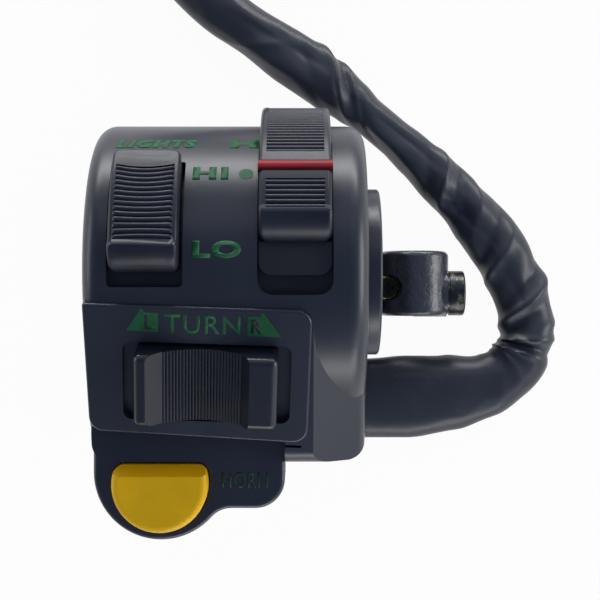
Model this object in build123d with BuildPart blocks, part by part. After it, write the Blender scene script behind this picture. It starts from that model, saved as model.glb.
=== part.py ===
"""Left-hand handlebar switch cluster: dimmer, lights lever, turn slider and horn button.

The bar runs along X. The rider looks along -Z at the drum, and +Y is up in that view.
The origin is on the bar's axis, half way along the casing. Sizes are in millimetres.
"""
import os
from math import atan2, cos, degrees, hypot, pi, radians, sin, sqrt, tan

from build123d import *

os.makedirs("parts", exist_ok=True)

# Handlebar and casing
bar_radius = 11.1
drum_radius = 28.0
casing_half_width = 25.1
body_depth = 35.0
front_tilt = 21.0
wall = 2.4
end_wall = 3.0
end_round = 3.4
front_corner_round = 3.5
flank_start = 15.4
flank_angle = 36.0
rear_corner_round = 6.0
collar_radius = 16.0
collar_length = 3.0
collar_round = 0.6

# Clearances and fits
slide_gap = 0.2
surface_gap = 0.35
contact_gap = 0.3
fit_gap = 0.05
overrun = 5.0

# Turn panel, a flat boss on the tilted front
panel_centre_x = -3.43
panel_centre_down = 10.52
panel_rise = 0.6
panel_roll = -2.0
panel_thickness = 2.6
panel_top = 14.25
panel_right = 18.2
panel_left_top = -21.75
panel_left_bottom = -20.9
panel_bottom_left = -10.15
panel_bottom_right = -11.45
panel_corner_round = 2.8
panel_edge_round = 0.5

# Horn plate, the lobe that hangs below the panel
plate_front = 15.0
plate_back_thickness = 3.4
plate_edge_round = 0.9
lobe_x = -12.4
lobe_y = -36.9
lobe_radius = 12.35
lobe_step_y = -43.5
lobe_right_x = 10.25
lobe_blend_round = 5.0
lobe_corner_round = 5.4
lobe_top_y = -26.0
plate_step_y = -28.2
slit_x = 14.1
slit_drop = 0.6
slit_length = 3.0
slit_height = 0.5
slit_depth = 1.2

# Thumb sliders that turn about the bar
knob_rise = 3.15
lip_rise = 4.4
knob_radius = drum_radius + knob_rise
lip_radius = drum_radius + lip_rise
slot_width = 13.2
knob_width = 12.0
lights_knob_width = 12.7
knob_corner_round = 1.5
knob_edge_round = 0.8
grip_width = 10.2
rim_rise = 0.42
rim_radius = knob_radius + rim_rise
rim_floor = drum_radius + 1.3
lip_fall_angle = 2.0
far_corner_angle = 3.0
angle_tolerance = 0.5
tolerance = 0.3
slider_thickness = 1.4
slider_overlap = 0.6
channel_wall = 2.3
seat_width = 0.7
slot_corner_round = 0.8
lights_slot_corner_round = 2.6
slot_upper_round = 0.5
skirt_corner_round = 2.2
slot_end_angle = 0.4
cover_angle = 0.6
base_margin_angle = 3.0
carrier_thickness = 2.2
carrier_width = 10.0
carrier_arc = 13.0
tongue_width = 5.0
tongue_arc = 7.0
tongue_height = 3.4
rib_height = 0.32
rib_pitch_angle = 1.79
chin_rise = 0.4
chin_bulge = 0.9
chin_bulge_share = 0.45
lip_flat_angle = 0.8

# Dimmer, angles about the bar from the front towards the top
dimmer_inset = 11.2
dimmer_x = dimmer_inset - casing_half_width
dimmer_travel = 5.0
dimmer_knob_low = -1.2
dimmer_knob_high = 42.8
dimmer_lip_angle = 6.4
dimmer_rib_low = 9.2
dimmer_rib_count = 14
dimmer_carrier_angle = 20.0
dimmer_post_angle = 56.0

# Lights lever, angles likewise
lights_inset = 12.9
lights_x = casing_half_width - lights_inset
lights_travel = 15.0
lights_knob_low = 10.0
lights_knob_high = 95.0
lights_lip_angle = 17.5
lights_rib_low = 19.0
lower_rib_count = 6
index_low = 32.8
index_high = 37.3
upper_rib_low = 41.0
upper_rib_count = 28
lights_stem_high = 41.0
lights_skirt_low = -2.3
lights_slot_low = -9.4
lights_carrier_angle = 26.0
lights_post_angle = 78.0
skirt_rise = 1.7
index_rise = 0.95
index_floor = knob_radius - 1.5
index_proud = 0.2

# Turn slider
recess_half_length = 14.8
recess_half_height = 7.5
recess_corner_round = 1.6
turn_travel = 2.1
turn_knob_half_length = 12.5
turn_knob_half_height = 6.8
turn_knob_height = 4.8
turn_dip = 4.2
turn_end_round = 1.3
turn_left_bump = 10.4
turn_right_bump = 7.6
turn_rib_count = 25
turn_rib_first = -7.6
turn_rib_last = 6.2
turn_rib_height = 0.2
turn_saddle_rise = 1.9
turn_knob_round = 1.2
turn_floor = 1.2
turn_slider_half_height = 5.6
turn_seat_wall = 1.5
turn_seat_half_height = 5.5
turn_base_half_height = 6.5
turn_post_x = 15.6
turn_carrier_half_length = 6.0
turn_carrier_half_height = 5.0
turn_contact_half_length = 4.5
turn_tongue_half_length = 4.0
turn_tongue_half_height = 2.5
turn_tongue_height = 2.7

# Horn button
button_x = -12.35
button_y = -38.75
button_radius = 8.7
button_top_y = -35.3
button_corner_round = 1.8
button_height = 3.9
button_edge_round = 1.3
button_bevel_run = 1.9
button_bevel_drop = 2.9
button_gap = 0.25
button_flange = 0.6
button_flange_thickness = 1.4
stem_radius = 2.4
stem_length = 3.2
horn_base_top = 4.6
horn_post_x = 6.2
horn_post_y = -30.7
horn_post_radius = 1.9
horn_spring_radius = 4.4
horn_spring_wire = 0.4
horn_spring_turns = 4.5
horn_axis_y = -40.0
horn_contact_radius = 3.4
horn_rivet_offset = 2.0
horn_base_radius = 9.9
horn_ear_half_length = 8.4
horn_ear_half_width = 2.3

# Contacts, detents and the small screws of the contact bases
base_thickness = 2.0
post_radius = 2.2
contact_thickness = 0.6
contact_width = 4.6
contact_shift = -2.6
contact_arc = 11.0
detent_shift = 3.0
ball_radius = 1.2
ball_lift = 0.15
dimple_depth = 0.3
detent_wire = 0.22
detent_spring_radius = 0.82
detent_turns = 2.5
detent_hole_gap = 0.12
rivet_radius = 0.7
rivet_head_radius = 1.2
rivet_head = 0.3
rivet_tail = 2.0
rivet_spacing_angle = 5.5
rivet_spacing = 3.0
base_screw_radius = 1.0
base_screw_head_radius = 1.8
base_screw_head = 1.2
base_screw_grip = 3.0
base_seat_depth = 0.4

# Casing screws
casing_screw_radius = 2.5
casing_screw_head_radius = 4.2
casing_screw_head = 3.0
casing_screw_grip = 8.0
casing_boss_radius = 3.7
tower_wall = 1.7
head_gap = 0.3
top_screw_x = -0.7
top_screw_y = 19.6
top_seat_z = -12.0
bottom_screw_x = 13.6
bottom_screw_y = -29.2
bottom_boss_height = 13.0
bottom_seat_z = -21.0
lobe_screw_x = 4.6
lobe_screw_y = -38.3
lobe_screw_radius = 2.0
lobe_screw_head_radius = 3.0
lobe_screw_head = 2.2
lobe_boss_radius = 3.2
drive_share = 0.5
drive_depth_share = 0.6
cross_arm_share = 0.5
head_round_share = 0.35

# Mirror bracket on the inboard end
boss_x = 36.7
boss_z = -19.0
boss_radius = 7.2
boss_low_y = -8.7
boss_high_y = 4.7
boss_round = 1.2
mirror_hole_radius = 4.2
arm_top_z = -16.6
arm_inset = 0.6
ledge_length = 8.0
ledge_thickness = 1.5
ledge_half_width = 5.0
bracket_screw_x = 31.0
bracket_screw_y = -2.9
bracket_screw_radius = 1.5
bracket_screw_head_radius = 2.5
bracket_screw_head = 1.4
lock_bolt_y = -4.0
lock_bolt_radius = 3.0
lock_bolt_head_radius = 4.65
lock_bolt_head = 3.1
lock_bolt_round = 0.5
washer_radius = 4.3
washer_thickness = 0.6
spot_face_depth = 0.5
spot_face_radius = 4.9

# Harness
cord_round_share = 0.45
sleeve_radius = 5.5
sleeve_wall = 0.8
grommet_y = -26.0
grommet_z = -21.0
grommet_flange_length = 15.0
grommet_flange_height = 11.0
grommet_flange = 1.5
grommet_neck_length = 11.2
grommet_neck_height = 7.4
grommet_bore_length = 8.0
grommet_bore_height = 4.6
grommet_lip = 1.2
grommet_lip_rim = 0.8
wire_radius = 1.0
connector_length = 21.0
connector_width = 17.0
connector_height = 9.0
connector_round = 1.0
latch_width = 5.0
latch_length = 12.0
latch_height = 1.4
cavity_size = 3.0
cavity_depth = 9.0
wire_spread = 5.0
wire_layer = 4.0
plug_x = 92.2
plug_y = 91.7
plug_angle = -35.0
pin_setback = 1.0
pin_radius = 0.9
pin_length = 14.0


def save(piece, name):
    """Label a finished piece and write its file."""
    piece.part.label = name
    export_step(piece.part, f"parts/{name}.step")


def polar(radius, angle):
    """Point of the side view at an angle from the front, +Z, towards the top, +Y."""
    return (radius * sin(radians(angle)), radius * cos(radians(angle)))


def band(x, inner, outer, low, high):
    """Face of a curved band about the bar, on the side view at a place along the bar."""
    middle = (low + high) / 2
    with BuildSketch(Plane.YZ.offset(x)) as face:
        with BuildLine():
            ThreePointArc(polar(inner, low), polar(inner, middle), polar(inner, high))
            Line(polar(inner, high), polar(outer, high))
            ThreePointArc(polar(outer, high), polar(outer, middle), polar(outer, low))
            Line(polar(outer, low), polar(inner, low))
        make_face()
    return face.sketch


def rib_arcs(place, first, last, count, height):
    """Row of round ribs, each an arc. place gives the point at a position and a height."""
    pitch = (last - first) / count
    for i in range(count):
        start = first + pitch * i
        ThreePointArc(place(start, 0), place(start + pitch / 2, height), place(start + pitch, 0))


def radial_plane(x, radius, angle):
    """Plane at a place along the bar and a radius and angle about it, facing outwards."""
    y, z = polar(radius, angle)
    return Plane(
        origin=(x, y, z),
        x_dir=(1, 0, 0),
        z_dir=(0, sin(radians(angle)), cos(radians(angle))),
    )


def front_section(x, inset):
    """Side outline of the front half: drum, tilted front and flat underside, drawn in by an inset."""
    radius = drum_radius - inset
    bottom = inset - body_depth
    corner_z = (radius + bottom * sin(radians(front_tilt))) / cos(radians(front_tilt))
    tangent = polar(radius, -front_tilt)
    with BuildSketch(Plane.YZ.offset(x)) as face:
        with BuildLine():
            FilletPolyline(
                (bottom, 0),
                (bottom, corner_z),
                tangent,
                radius=front_corner_round - inset,
            )
            ThreePointArc(tangent, polar(radius, (90 - front_tilt) / 2), (radius, 0))
            Line((radius, 0), (bottom, 0))
        make_face()
    return face.sketch


def flank_cutter(inset):
    """What the flank beside the turn panel leaves out of the tilted front, drawn in by an inset."""
    reach = casing_half_width - flank_start + overrun
    fall = tan(radians(flank_angle))
    drop = inset / cos(radians(flank_angle))
    start_y, start_z = polar(drum_radius, -front_tilt)
    across = Plane(
        origin=(flank_start, start_y, start_z),
        x_dir=(1, 0, 0),
        z_dir=(0, -cos(radians(front_tilt)), -sin(radians(front_tilt))),
    )
    with BuildPart() as cutter:
        with BuildSketch(across):
            Polygon(
                (-(overrun + drop) / fall, overrun),
                (reach, -fall * reach - drop),
                (reach, overrun),
                align=None,
            )
        extrude(amount=body_depth, both=True)
        with BuildSketch(Plane.YZ):
            Circle(drum_radius - inset)
        extrude(amount=2 * casing_half_width, both=True, mode=Mode.SUBTRACT)
    return cutter.part


def rear_section(x, inset):
    """Side outline of the rear half: round at the top, square with a rounded corner at the bottom."""
    radius = drum_radius - inset
    bottom = inset - body_depth
    with BuildSketch(Plane.YZ.offset(x)) as face:
        with BuildLine():
            ThreePointArc((radius, 0), polar(radius, 135), (0, -radius))
            FilletPolyline(
                (0, -radius),
                (bottom, -radius),
                (bottom, 0),
                radius=rear_corner_round - inset,
            )
            Line((bottom, 0), (radius, 0))
        make_face()
    return face.sketch


def lobe_outline(z, inset):
    """Outline of the horn plate at a height, drawn in by an inset."""
    radius = lobe_radius - inset
    blend = lobe_blend_round + inset
    corner = lobe_corner_round - inset
    left = lobe_x - radius
    right = lobe_right_x - inset
    step = lobe_step_y + inset
    drop = step - blend - lobe_y
    blend_x = lobe_x + sqrt((radius + blend) ** 2 - drop**2)
    meet = degrees(atan2(-drop, blend_x - lobe_x))
    with BuildSketch(Plane.XY.offset(z)) as face:
        with BuildLine():
            Line((left, lobe_top_y), (left, lobe_y))
            CenterArc((lobe_x, lobe_y), radius, 180, 180 - meet)
            CenterArc((blend_x, step - blend), blend, 180 - meet, meet - 90)
            Line((blend_x, step), (right - corner, step))
            CenterArc((right - corner, step + corner), corner, -90, 90)
            Line((right, step + corner), (right, lobe_top_y))
            Line((right, lobe_top_y), (left, lobe_top_y))
        make_face()
    return face.sketch


def button_outline(z, outset):
    """D shape of the horn button at a height, grown by an outset."""
    radius = button_radius + outset
    top = button_top_y + outset
    half_chord = sqrt(radius**2 - (top - button_y) ** 2)
    with BuildSketch(Plane.XY.offset(z)) as face:
        with BuildLine():
            ThreePointArc(
                (button_x - half_chord, top),
                (button_x, button_y - radius),
                (button_x + half_chord, top),
            )
            Line((button_x + half_chord, top), (button_x - half_chord, top))
        make_face()
        fillet(face.vertices(), button_corner_round + outset)
    return face.sketch


def circle_at(plane, radius, point=(0, 0)):
    """Round face on a plane, at a point of that plane."""
    with BuildSketch(plane) as face:
        with Locations(point):
            Circle(radius)
    return face.sketch


def box_at(plane, low, high):
    """Rectangular face on a plane, between two corners of that plane."""
    with BuildSketch(plane) as face:
        with Locations(((low[0] + high[0]) / 2, (low[1] + high[1]) / 2)):
            Rectangle(high[0] - low[0], high[1] - low[1])
    return face.sketch


def panel_level(radius):
    """Plane parallel to the turn panel, at a distance from the bar's axis."""
    return panel_plane.offset(radius - panel_surface)


# The turn panel's plane, tilted with the front of the body and rolled a little
tilt_normal = Vector(0, -sin(radians(front_tilt)), cos(radians(front_tilt)))
tilt_up = Vector(0, cos(radians(front_tilt)), sin(radians(front_tilt)))
panel_x_dir = Vector(cos(radians(panel_roll)), 0, 0) + tilt_up * sin(radians(panel_roll))
panel_surface = drum_radius + panel_rise
panel_centre = Vector(panel_centre_x, 0, 0) + tilt_normal * panel_surface - tilt_up * panel_centre_down
panel_plane = Plane(origin=panel_centre, x_dir=panel_x_dir, z_dir=tilt_normal)
panel_axis = Axis(panel_centre, tilt_normal)

# Radii of the layers under the drum's wall
inner_radius = drum_radius - wall
slider_outer = inner_radius - slide_gap
slider_inner = slider_outer - slider_thickness
carrier_inner = slider_inner - carrier_thickness
contact_inner = carrier_inner - contact_thickness
base_outer = contact_inner - contact_gap - rivet_head
base_inner = base_outer - base_thickness
ball_place = base_outer + ball_lift + ball_radius
detent_top = slider_outer - slide_gap * 2
inner_half = casing_half_width - end_wall
bracket_centre_y = (boss_low_y + boss_high_y) / 2
arm_low_z = boss_z - boss_radius
turn_slot_half_length = turn_tongue_half_length + turn_travel + slide_gap
turn_slot_half_height = turn_tongue_half_height + slide_gap
turn_slider_half_length = turn_slot_half_length + turn_travel + slider_overlap
turn_channel_half = turn_slider_half_length + turn_travel + slide_gap
turn_floor_level = inner_radius + turn_floor
plate_inner = plate_front - wall

# Widths across the two thumb sliders
slider_half_width = slot_width / 2 + slider_overlap
channel_half_width = slider_half_width + slide_gap
base_half_width = channel_half_width + seat_width

# The two thumb sliders, as angles about the bar
dimmer = {
    "x": dimmer_x,
    "knob_width": knob_width,
    "slot_corner": slot_corner_round,
    "knob_low": dimmer_knob_low,
    "knob_high": dimmer_knob_high,
    "slot_low": dimmer_knob_low - dimmer_travel - slot_end_angle,
    "slot_high": dimmer_knob_high + slot_end_angle,
    "down": dimmer_travel,
    "up": 0,
    "stem_high": dimmer_knob_high,
    "carrier": dimmer_carrier_angle,
    "post": dimmer_post_angle,
}
lights = {
    "x": lights_x,
    "knob_width": lights_knob_width,
    "slot_corner": lights_slot_corner_round,
    "knob_low": lights_knob_low,
    "knob_high": lights_knob_high,
    "slot_low": lights_slot_low,
    "slot_high": lights_stem_high + lights_travel + slot_end_angle,
    "down": 0,
    "up": lights_travel,
    "stem_high": lights_stem_high,
    "carrier": lights_carrier_angle,
    "post": lights_post_angle,
}
for unit in (dimmer, lights):
    unit["band_low"] = unit["slot_low"] - unit["up"] - cover_angle
    unit["band_high"] = unit["slot_high"] + unit["down"] + cover_angle
    unit["base_low"] = unit["carrier"] - carrier_arc / 2 - unit["down"] - base_margin_angle
    unit["base_high"] = unit["post"] + degrees(post_radius / base_outer)


# Panel boss: the raised flat that carries the turn switch
with BuildPart() as panel_boss:
    with BuildSketch(panel_plane):
        with BuildLine():
            FilletPolyline(
                (panel_left_top, panel_top),
                (panel_left_bottom, panel_bottom_left),
                (panel_right, panel_bottom_right),
                (panel_right, panel_top),
                radius=[
                    panel_edge_round,
                    panel_corner_round,
                    panel_corner_round,
                    panel_corner_round,
                ],
                close=True,
            )
        make_face()
    extrude(amount=-panel_thickness)
    fillet(panel_boss.faces().sort_by(panel_axis)[-1].edges(), panel_edge_round)

# Horn plate: the lobe as a solid block with a softened front edge
with BuildPart() as horn_plate:
    extrude(lobe_outline(0, 0), amount=plate_front)
    fillet(horn_plate.faces().sort_by(Axis.Z)[-1].edges(), plate_edge_round)

# Where the rows of ribs end
dimmer_rib_high = dimmer_rib_low + dimmer_rib_count * rib_pitch_angle
lower_rib_high = lights_rib_low + lower_rib_count * rib_pitch_angle
upper_rib_high = upper_rib_low + upper_rib_count * rib_pitch_angle



def slot_corners(cutter):
    """Corner lines of a slot's cutter, the lower end's first."""
    lines = cutter.faces().filter_by(Axis.X).edges().filter_by(GeomType.LINE)
    return lines.sort_by(lambda edge: atan2(edge.center().Y, edge.center().Z))


# Slot cutters with rounded corners, rounder at the lower end
slot_cutters = []
for unit in (dimmer, lights):
    with BuildPart() as slot_cutter:
        extrude(
            band(
                unit["x"] - slot_width / 2,
                slider_inner,
                drum_radius + overrun,
                unit["slot_low"],
                unit["slot_high"],
            ),
            amount=slot_width,
        )
        fillet(slot_corners(slot_cutter)[:2], unit["slot_corner"])
        fillet(slot_corners(slot_cutter)[-2:], slot_upper_round)
    slot_cutters.append(slot_cutter.part)

# Skirt of the lights slider, which fills the slot below the lever
with BuildPart() as skirt:
    extrude(
        band(
            lights_x - lights_knob_width / 2,
            slider_outer,
            slider_outer + skirt_rise,
            lights_skirt_low,
            lights_knob_low,
        ),
        amount=lights_knob_width,
    )
    skirt_end = skirt.faces().sort_by(lambda face: atan2(face.center().Y, face.center().Z))[0]
    fillet(skirt_end.edges().filter_by(Axis.X, reverse=True), skirt_corner_round)

# Hollow of the front casing, less the ribs, posts and bosses that stand in it
with BuildPart() as front_hollow:
    extrude(front_section(-inner_half, wall), amount=2 * inner_half)
    add(flank_cutter(wall), mode=Mode.SUBTRACT)
    extrude(
        box_at(
            Plane.XY.offset(plate_inner),
            (-casing_half_width, -body_depth),
            (lobe_right_x + wall, plate_step_y + wall),
        ),
        amount=drum_radius,
        mode=Mode.SUBTRACT,
    )
    extrude(lobe_outline(0, wall), amount=plate_inner)
    for unit in (dimmer, lights):
        for start in (
            unit["x"] - channel_half_width - channel_wall,
            unit["x"] + channel_half_width,
        ):
            extrude(
                band(start, base_outer, drum_radius, unit["base_low"], unit["base_high"]),
                amount=channel_wall,
                mode=Mode.SUBTRACT,
            )
        extrude(
            circle_at(radial_plane(unit["x"], base_outer, unit["post"]), post_radius),
            amount=drum_radius - base_outer,
            mode=Mode.SUBTRACT,
        )
    extrude(
        circle_at(Plane.XY, casing_boss_radius, (top_screw_x, top_screw_y)),
        amount=drum_radius,
        mode=Mode.SUBTRACT,
    )
    extrude(
        circle_at(Plane.XY, casing_boss_radius, (bottom_screw_x, bottom_screw_y)),
        amount=bottom_boss_height,
        mode=Mode.SUBTRACT,
    )
    extrude(
        circle_at(Plane.XY, lobe_boss_radius, (lobe_screw_x, lobe_screw_y)),
        amount=plate_front,
        mode=Mode.SUBTRACT,
    )
    for side in (-1, 1):
        extrude(
            circle_at(
                Plane.XY.offset(horn_base_top),
                horn_post_radius,
                (button_x + side * horn_post_x, horn_post_y),
            ),
            amount=plate_front - horn_base_top,
            mode=Mode.SUBTRACT,
        )
    for low in (-turn_channel_half - turn_seat_wall, turn_channel_half):
        extrude(
            box_at(
                panel_level(base_outer),
                (low, -turn_seat_half_height),
                (low + turn_seat_wall, turn_seat_half_height),
            ),
            amount=drum_radius - base_outer,
            mode=Mode.SUBTRACT,
        )
    extrude(
        circle_at(panel_level(base_outer), post_radius, (turn_post_x, 0)),
        amount=drum_radius - base_outer,
        mode=Mode.SUBTRACT,
    )

# Front casing
with BuildPart() as front_casing:
    extrude(front_section(-casing_half_width, 0), amount=2 * casing_half_width)
    add(flank_cutter(0), mode=Mode.SUBTRACT)
    front_ends = front_casing.faces().filter_by(Axis.X).edges()
    fillet([edge for edge in front_ends if edge.center().Z > end_round], end_round)
    extrude(
        box_at(
            Plane.XY.offset(plate_front),
            (-casing_half_width - overrun, -body_depth - overrun),
            (lobe_right_x, plate_step_y),
        ),
        amount=drum_radius,
        mode=Mode.SUBTRACT,
    )
    add(horn_plate.part)
    add(panel_boss.part)
    with BuildSketch(Plane.YZ.offset(casing_half_width - end_wall)):
        Circle(collar_radius)
        Rectangle(2 * drum_radius, drum_radius, align=(Align.CENTER, Align.MAX), mode=Mode.SUBTRACT)
    extrude(amount=end_wall + collar_length)
    collar_edges = front_casing.faces().sort_by(Axis.X)[-1].edges().filter_by(GeomType.CIRCLE)
    fillet(collar_edges.sort_by(SortBy.RADIUS)[-1], collar_round)
    add(front_hollow.part, mode=Mode.SUBTRACT)
    with BuildSketch(Plane.YZ.offset(-casing_half_width - overrun)):
        Circle(bar_radius)
    extrude(amount=2 * casing_half_width + collar_length + 2 * overrun, mode=Mode.SUBTRACT)
    for slot_cutter_part in slot_cutters:
        add(slot_cutter_part, mode=Mode.SUBTRACT)
    with BuildSketch(panel_level(turn_floor_level)):
        RectangleRounded(2 * recess_half_length, 2 * recess_half_height, recess_corner_round)
    extrude(amount=drum_radius, mode=Mode.SUBTRACT)
    extrude(
        box_at(
            panel_level(slider_inner),
            (-turn_slot_half_length, -turn_slot_half_height),
            (turn_slot_half_length, turn_slot_half_height),
        ),
        amount=drum_radius,
        mode=Mode.SUBTRACT,
    )
    extrude(button_outline(horn_base_top, button_gap), amount=plate_front, mode=Mode.SUBTRACT)
    extrude(
        button_outline(horn_base_top, button_flange + slide_gap),
        amount=plate_inner - horn_base_top,
        mode=Mode.SUBTRACT,
    )
    for unit in (dimmer, lights):
        extrude(
            circle_at(
                radial_plane(unit["x"], base_outer, unit["post"]),
                base_screw_radius + fit_gap,
            ),
            amount=base_screw_grip,
            mode=Mode.SUBTRACT,
        )
    extrude(
        circle_at(panel_level(base_outer), base_screw_radius + fit_gap, (turn_post_x, 0)),
        amount=base_screw_grip,
        mode=Mode.SUBTRACT,
    )
    for side in (-1, 1):
        extrude(
            circle_at(
                Plane.XY.offset(horn_base_top),
                base_screw_radius + fit_gap,
                (button_x + side * horn_post_x, horn_post_y),
            ),
            amount=base_screw_grip,
            mode=Mode.SUBTRACT,
        )
    for x, y in ((top_screw_x, top_screw_y), (bottom_screw_x, bottom_screw_y)):
        extrude(
            circle_at(Plane.XY, casing_screw_radius + fit_gap, (x, y)),
            amount=casing_screw_grip,
            mode=Mode.SUBTRACT,
        )
    extrude(
        circle_at(Plane.XY, lobe_screw_radius + fit_gap, (lobe_screw_x, lobe_screw_y)),
        amount=casing_screw_grip,
        mode=Mode.SUBTRACT,
    )
    extrude(
        box_at(
            panel_level(drum_radius - slit_depth),
            (slit_x, panel_bottom_right - slit_drop - slit_height),
            (slit_x + slit_length, panel_bottom_right - slit_drop),
        ),
        amount=wall,
        mode=Mode.SUBTRACT,
    )
save(front_casing, "front_casing")

# Rear casing: hollow, less the towers for the two long screws
tower_radius = casing_screw_head_radius + head_gap + tower_wall
with BuildPart() as rear_hollow:
    extrude(rear_section(-inner_half, wall), amount=2 * inner_half)
    for point in ((top_screw_x, top_screw_y), (bottom_screw_x, bottom_screw_y)):
        extrude(circle_at(Plane.XY, tower_radius, point), amount=-drum_radius, mode=Mode.SUBTRACT)

with BuildPart() as rear_casing:
    extrude(rear_section(-casing_half_width, 0), amount=2 * casing_half_width)
    rear_ends = rear_casing.faces().filter_by(Axis.X).edges()
    fillet([edge for edge in rear_ends if edge.center().Z < -end_round], end_round)
    extrude(lobe_outline(0, fit_gap), amount=-plate_back_thickness)
    with BuildSketch(Plane.YZ.offset(casing_half_width - end_wall)):
        Circle(collar_radius)
        Rectangle(2 * drum_radius, drum_radius, align=(Align.CENTER, Align.MIN), mode=Mode.SUBTRACT)
    extrude(amount=end_wall + collar_length)
    collar_edges = rear_casing.faces().sort_by(Axis.X)[-1].edges().filter_by(GeomType.CIRCLE)
    fillet(collar_edges.sort_by(SortBy.RADIUS)[-1], collar_round)
    extrude(
        box_at(
            Plane.XY.offset(arm_low_z),
            (casing_half_width - wall, bracket_centre_y - ledge_half_width),
            (casing_half_width + ledge_length, bracket_centre_y + ledge_half_width),
        ),
        amount=-ledge_thickness,
    )
    add(rear_hollow.part, mode=Mode.SUBTRACT)
    with BuildSketch(Plane.YZ.offset(-casing_half_width - overrun)):
        Circle(bar_radius)
    extrude(amount=2 * casing_half_width + collar_length + 2 * overrun, mode=Mode.SUBTRACT)
    for x, y, seat in (
        (top_screw_x, top_screw_y, top_seat_z),
        (bottom_screw_x, bottom_screw_y, bottom_seat_z),
    ):
        extrude(
            circle_at(Plane.XY, casing_screw_radius + fit_gap, (x, y)),
            amount=seat,
            mode=Mode.SUBTRACT,
        )
        extrude(
            circle_at(Plane.XY.offset(seat), casing_screw_head_radius + head_gap, (x, y)),
            amount=-drum_radius,
            mode=Mode.SUBTRACT,
        )
    extrude(
        circle_at(Plane.XY, lobe_screw_radius + fit_gap, (lobe_screw_x, lobe_screw_y)),
        amount=-plate_back_thickness,
        mode=Mode.SUBTRACT,
    )
    extrude(
        circle_at(
            Plane.XY.offset(arm_low_z),
            bracket_screw_radius + fit_gap,
            (bracket_screw_x, bracket_screw_y),
        ),
        amount=-ledge_thickness,
        mode=Mode.SUBTRACT,
    )
    with BuildSketch(Plane.YZ.offset(inner_half - overrun)):
        with Locations((grommet_y, grommet_z)):
            SlotOverall(grommet_neck_length, grommet_neck_height)
    extrude(amount=end_wall + 2 * overrun, mode=Mode.SUBTRACT)
save(rear_casing, "rear_casing")


def screw(plane, shank_radius, length, head_radius, head_height):
    """Cross-recess screw on a plane that is its head's seat, with its shank going into the plane."""
    drive = head_radius * drive_share
    with BuildPart() as body:
        extrude(circle_at(plane, shank_radius), amount=-length)
        extrude(circle_at(plane, head_radius), amount=head_height)
        head_axis = Axis(plane.origin, plane.z_dir)
        fillet(body.faces().sort_by(head_axis)[-1].edges(), head_height * head_round_share)
        with BuildSketch(plane.offset(head_height * (1 - drive_depth_share))):
            Rectangle(2 * drive, drive * cross_arm_share)
            Rectangle(drive * cross_arm_share, 2 * drive)
        extrude(amount=head_height, mode=Mode.SUBTRACT)
    return body.part


def detent_coil(foot, length):
    """Detent spring standing on a plane, of a length along the plane's normal."""
    pitch = (length - 2 * detent_wire) / detent_turns
    with BuildPart() as coil_body:
        with BuildLine() as coil:
            Helix(
                pitch,
                length - 2 * detent_wire,
                detent_spring_radius,
                center=foot.from_local_coords((0, 0, detent_wire)),
                direction=foot.z_dir,
            )
        with BuildSketch(Plane(origin=coil.line @ 0, z_dir=coil.line % 0)):
            Circle(detent_wire)
        sweep(path=coil.line, is_frenet=True)
    return coil_body.part


# Casing screws, from the back
with BuildPart() as casing_screws:
    for x, y, seat in (
        (top_screw_x, top_screw_y, top_seat_z),
        (bottom_screw_x, bottom_screw_y, bottom_seat_z),
    ):
        seat_plane = Plane(origin=(x, y, seat), z_dir=(0, 0, -1))
        add(
            screw(
                seat_plane,
                casing_screw_radius,
                casing_screw_grip - fit_gap - seat,
                casing_screw_head_radius,
                casing_screw_head,
            )
        )
save(casing_screws, "casing_screws")

with BuildPart() as plate_screw:
    add(
        screw(
            Plane(origin=(lobe_screw_x, lobe_screw_y, -plate_back_thickness), z_dir=(0, 0, -1)),
            lobe_screw_radius,
            plate_back_thickness + casing_screw_grip - fit_gap,
            lobe_screw_head_radius,
            lobe_screw_head,
        )
    )
save(plate_screw, "horn_plate_screw")

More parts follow.
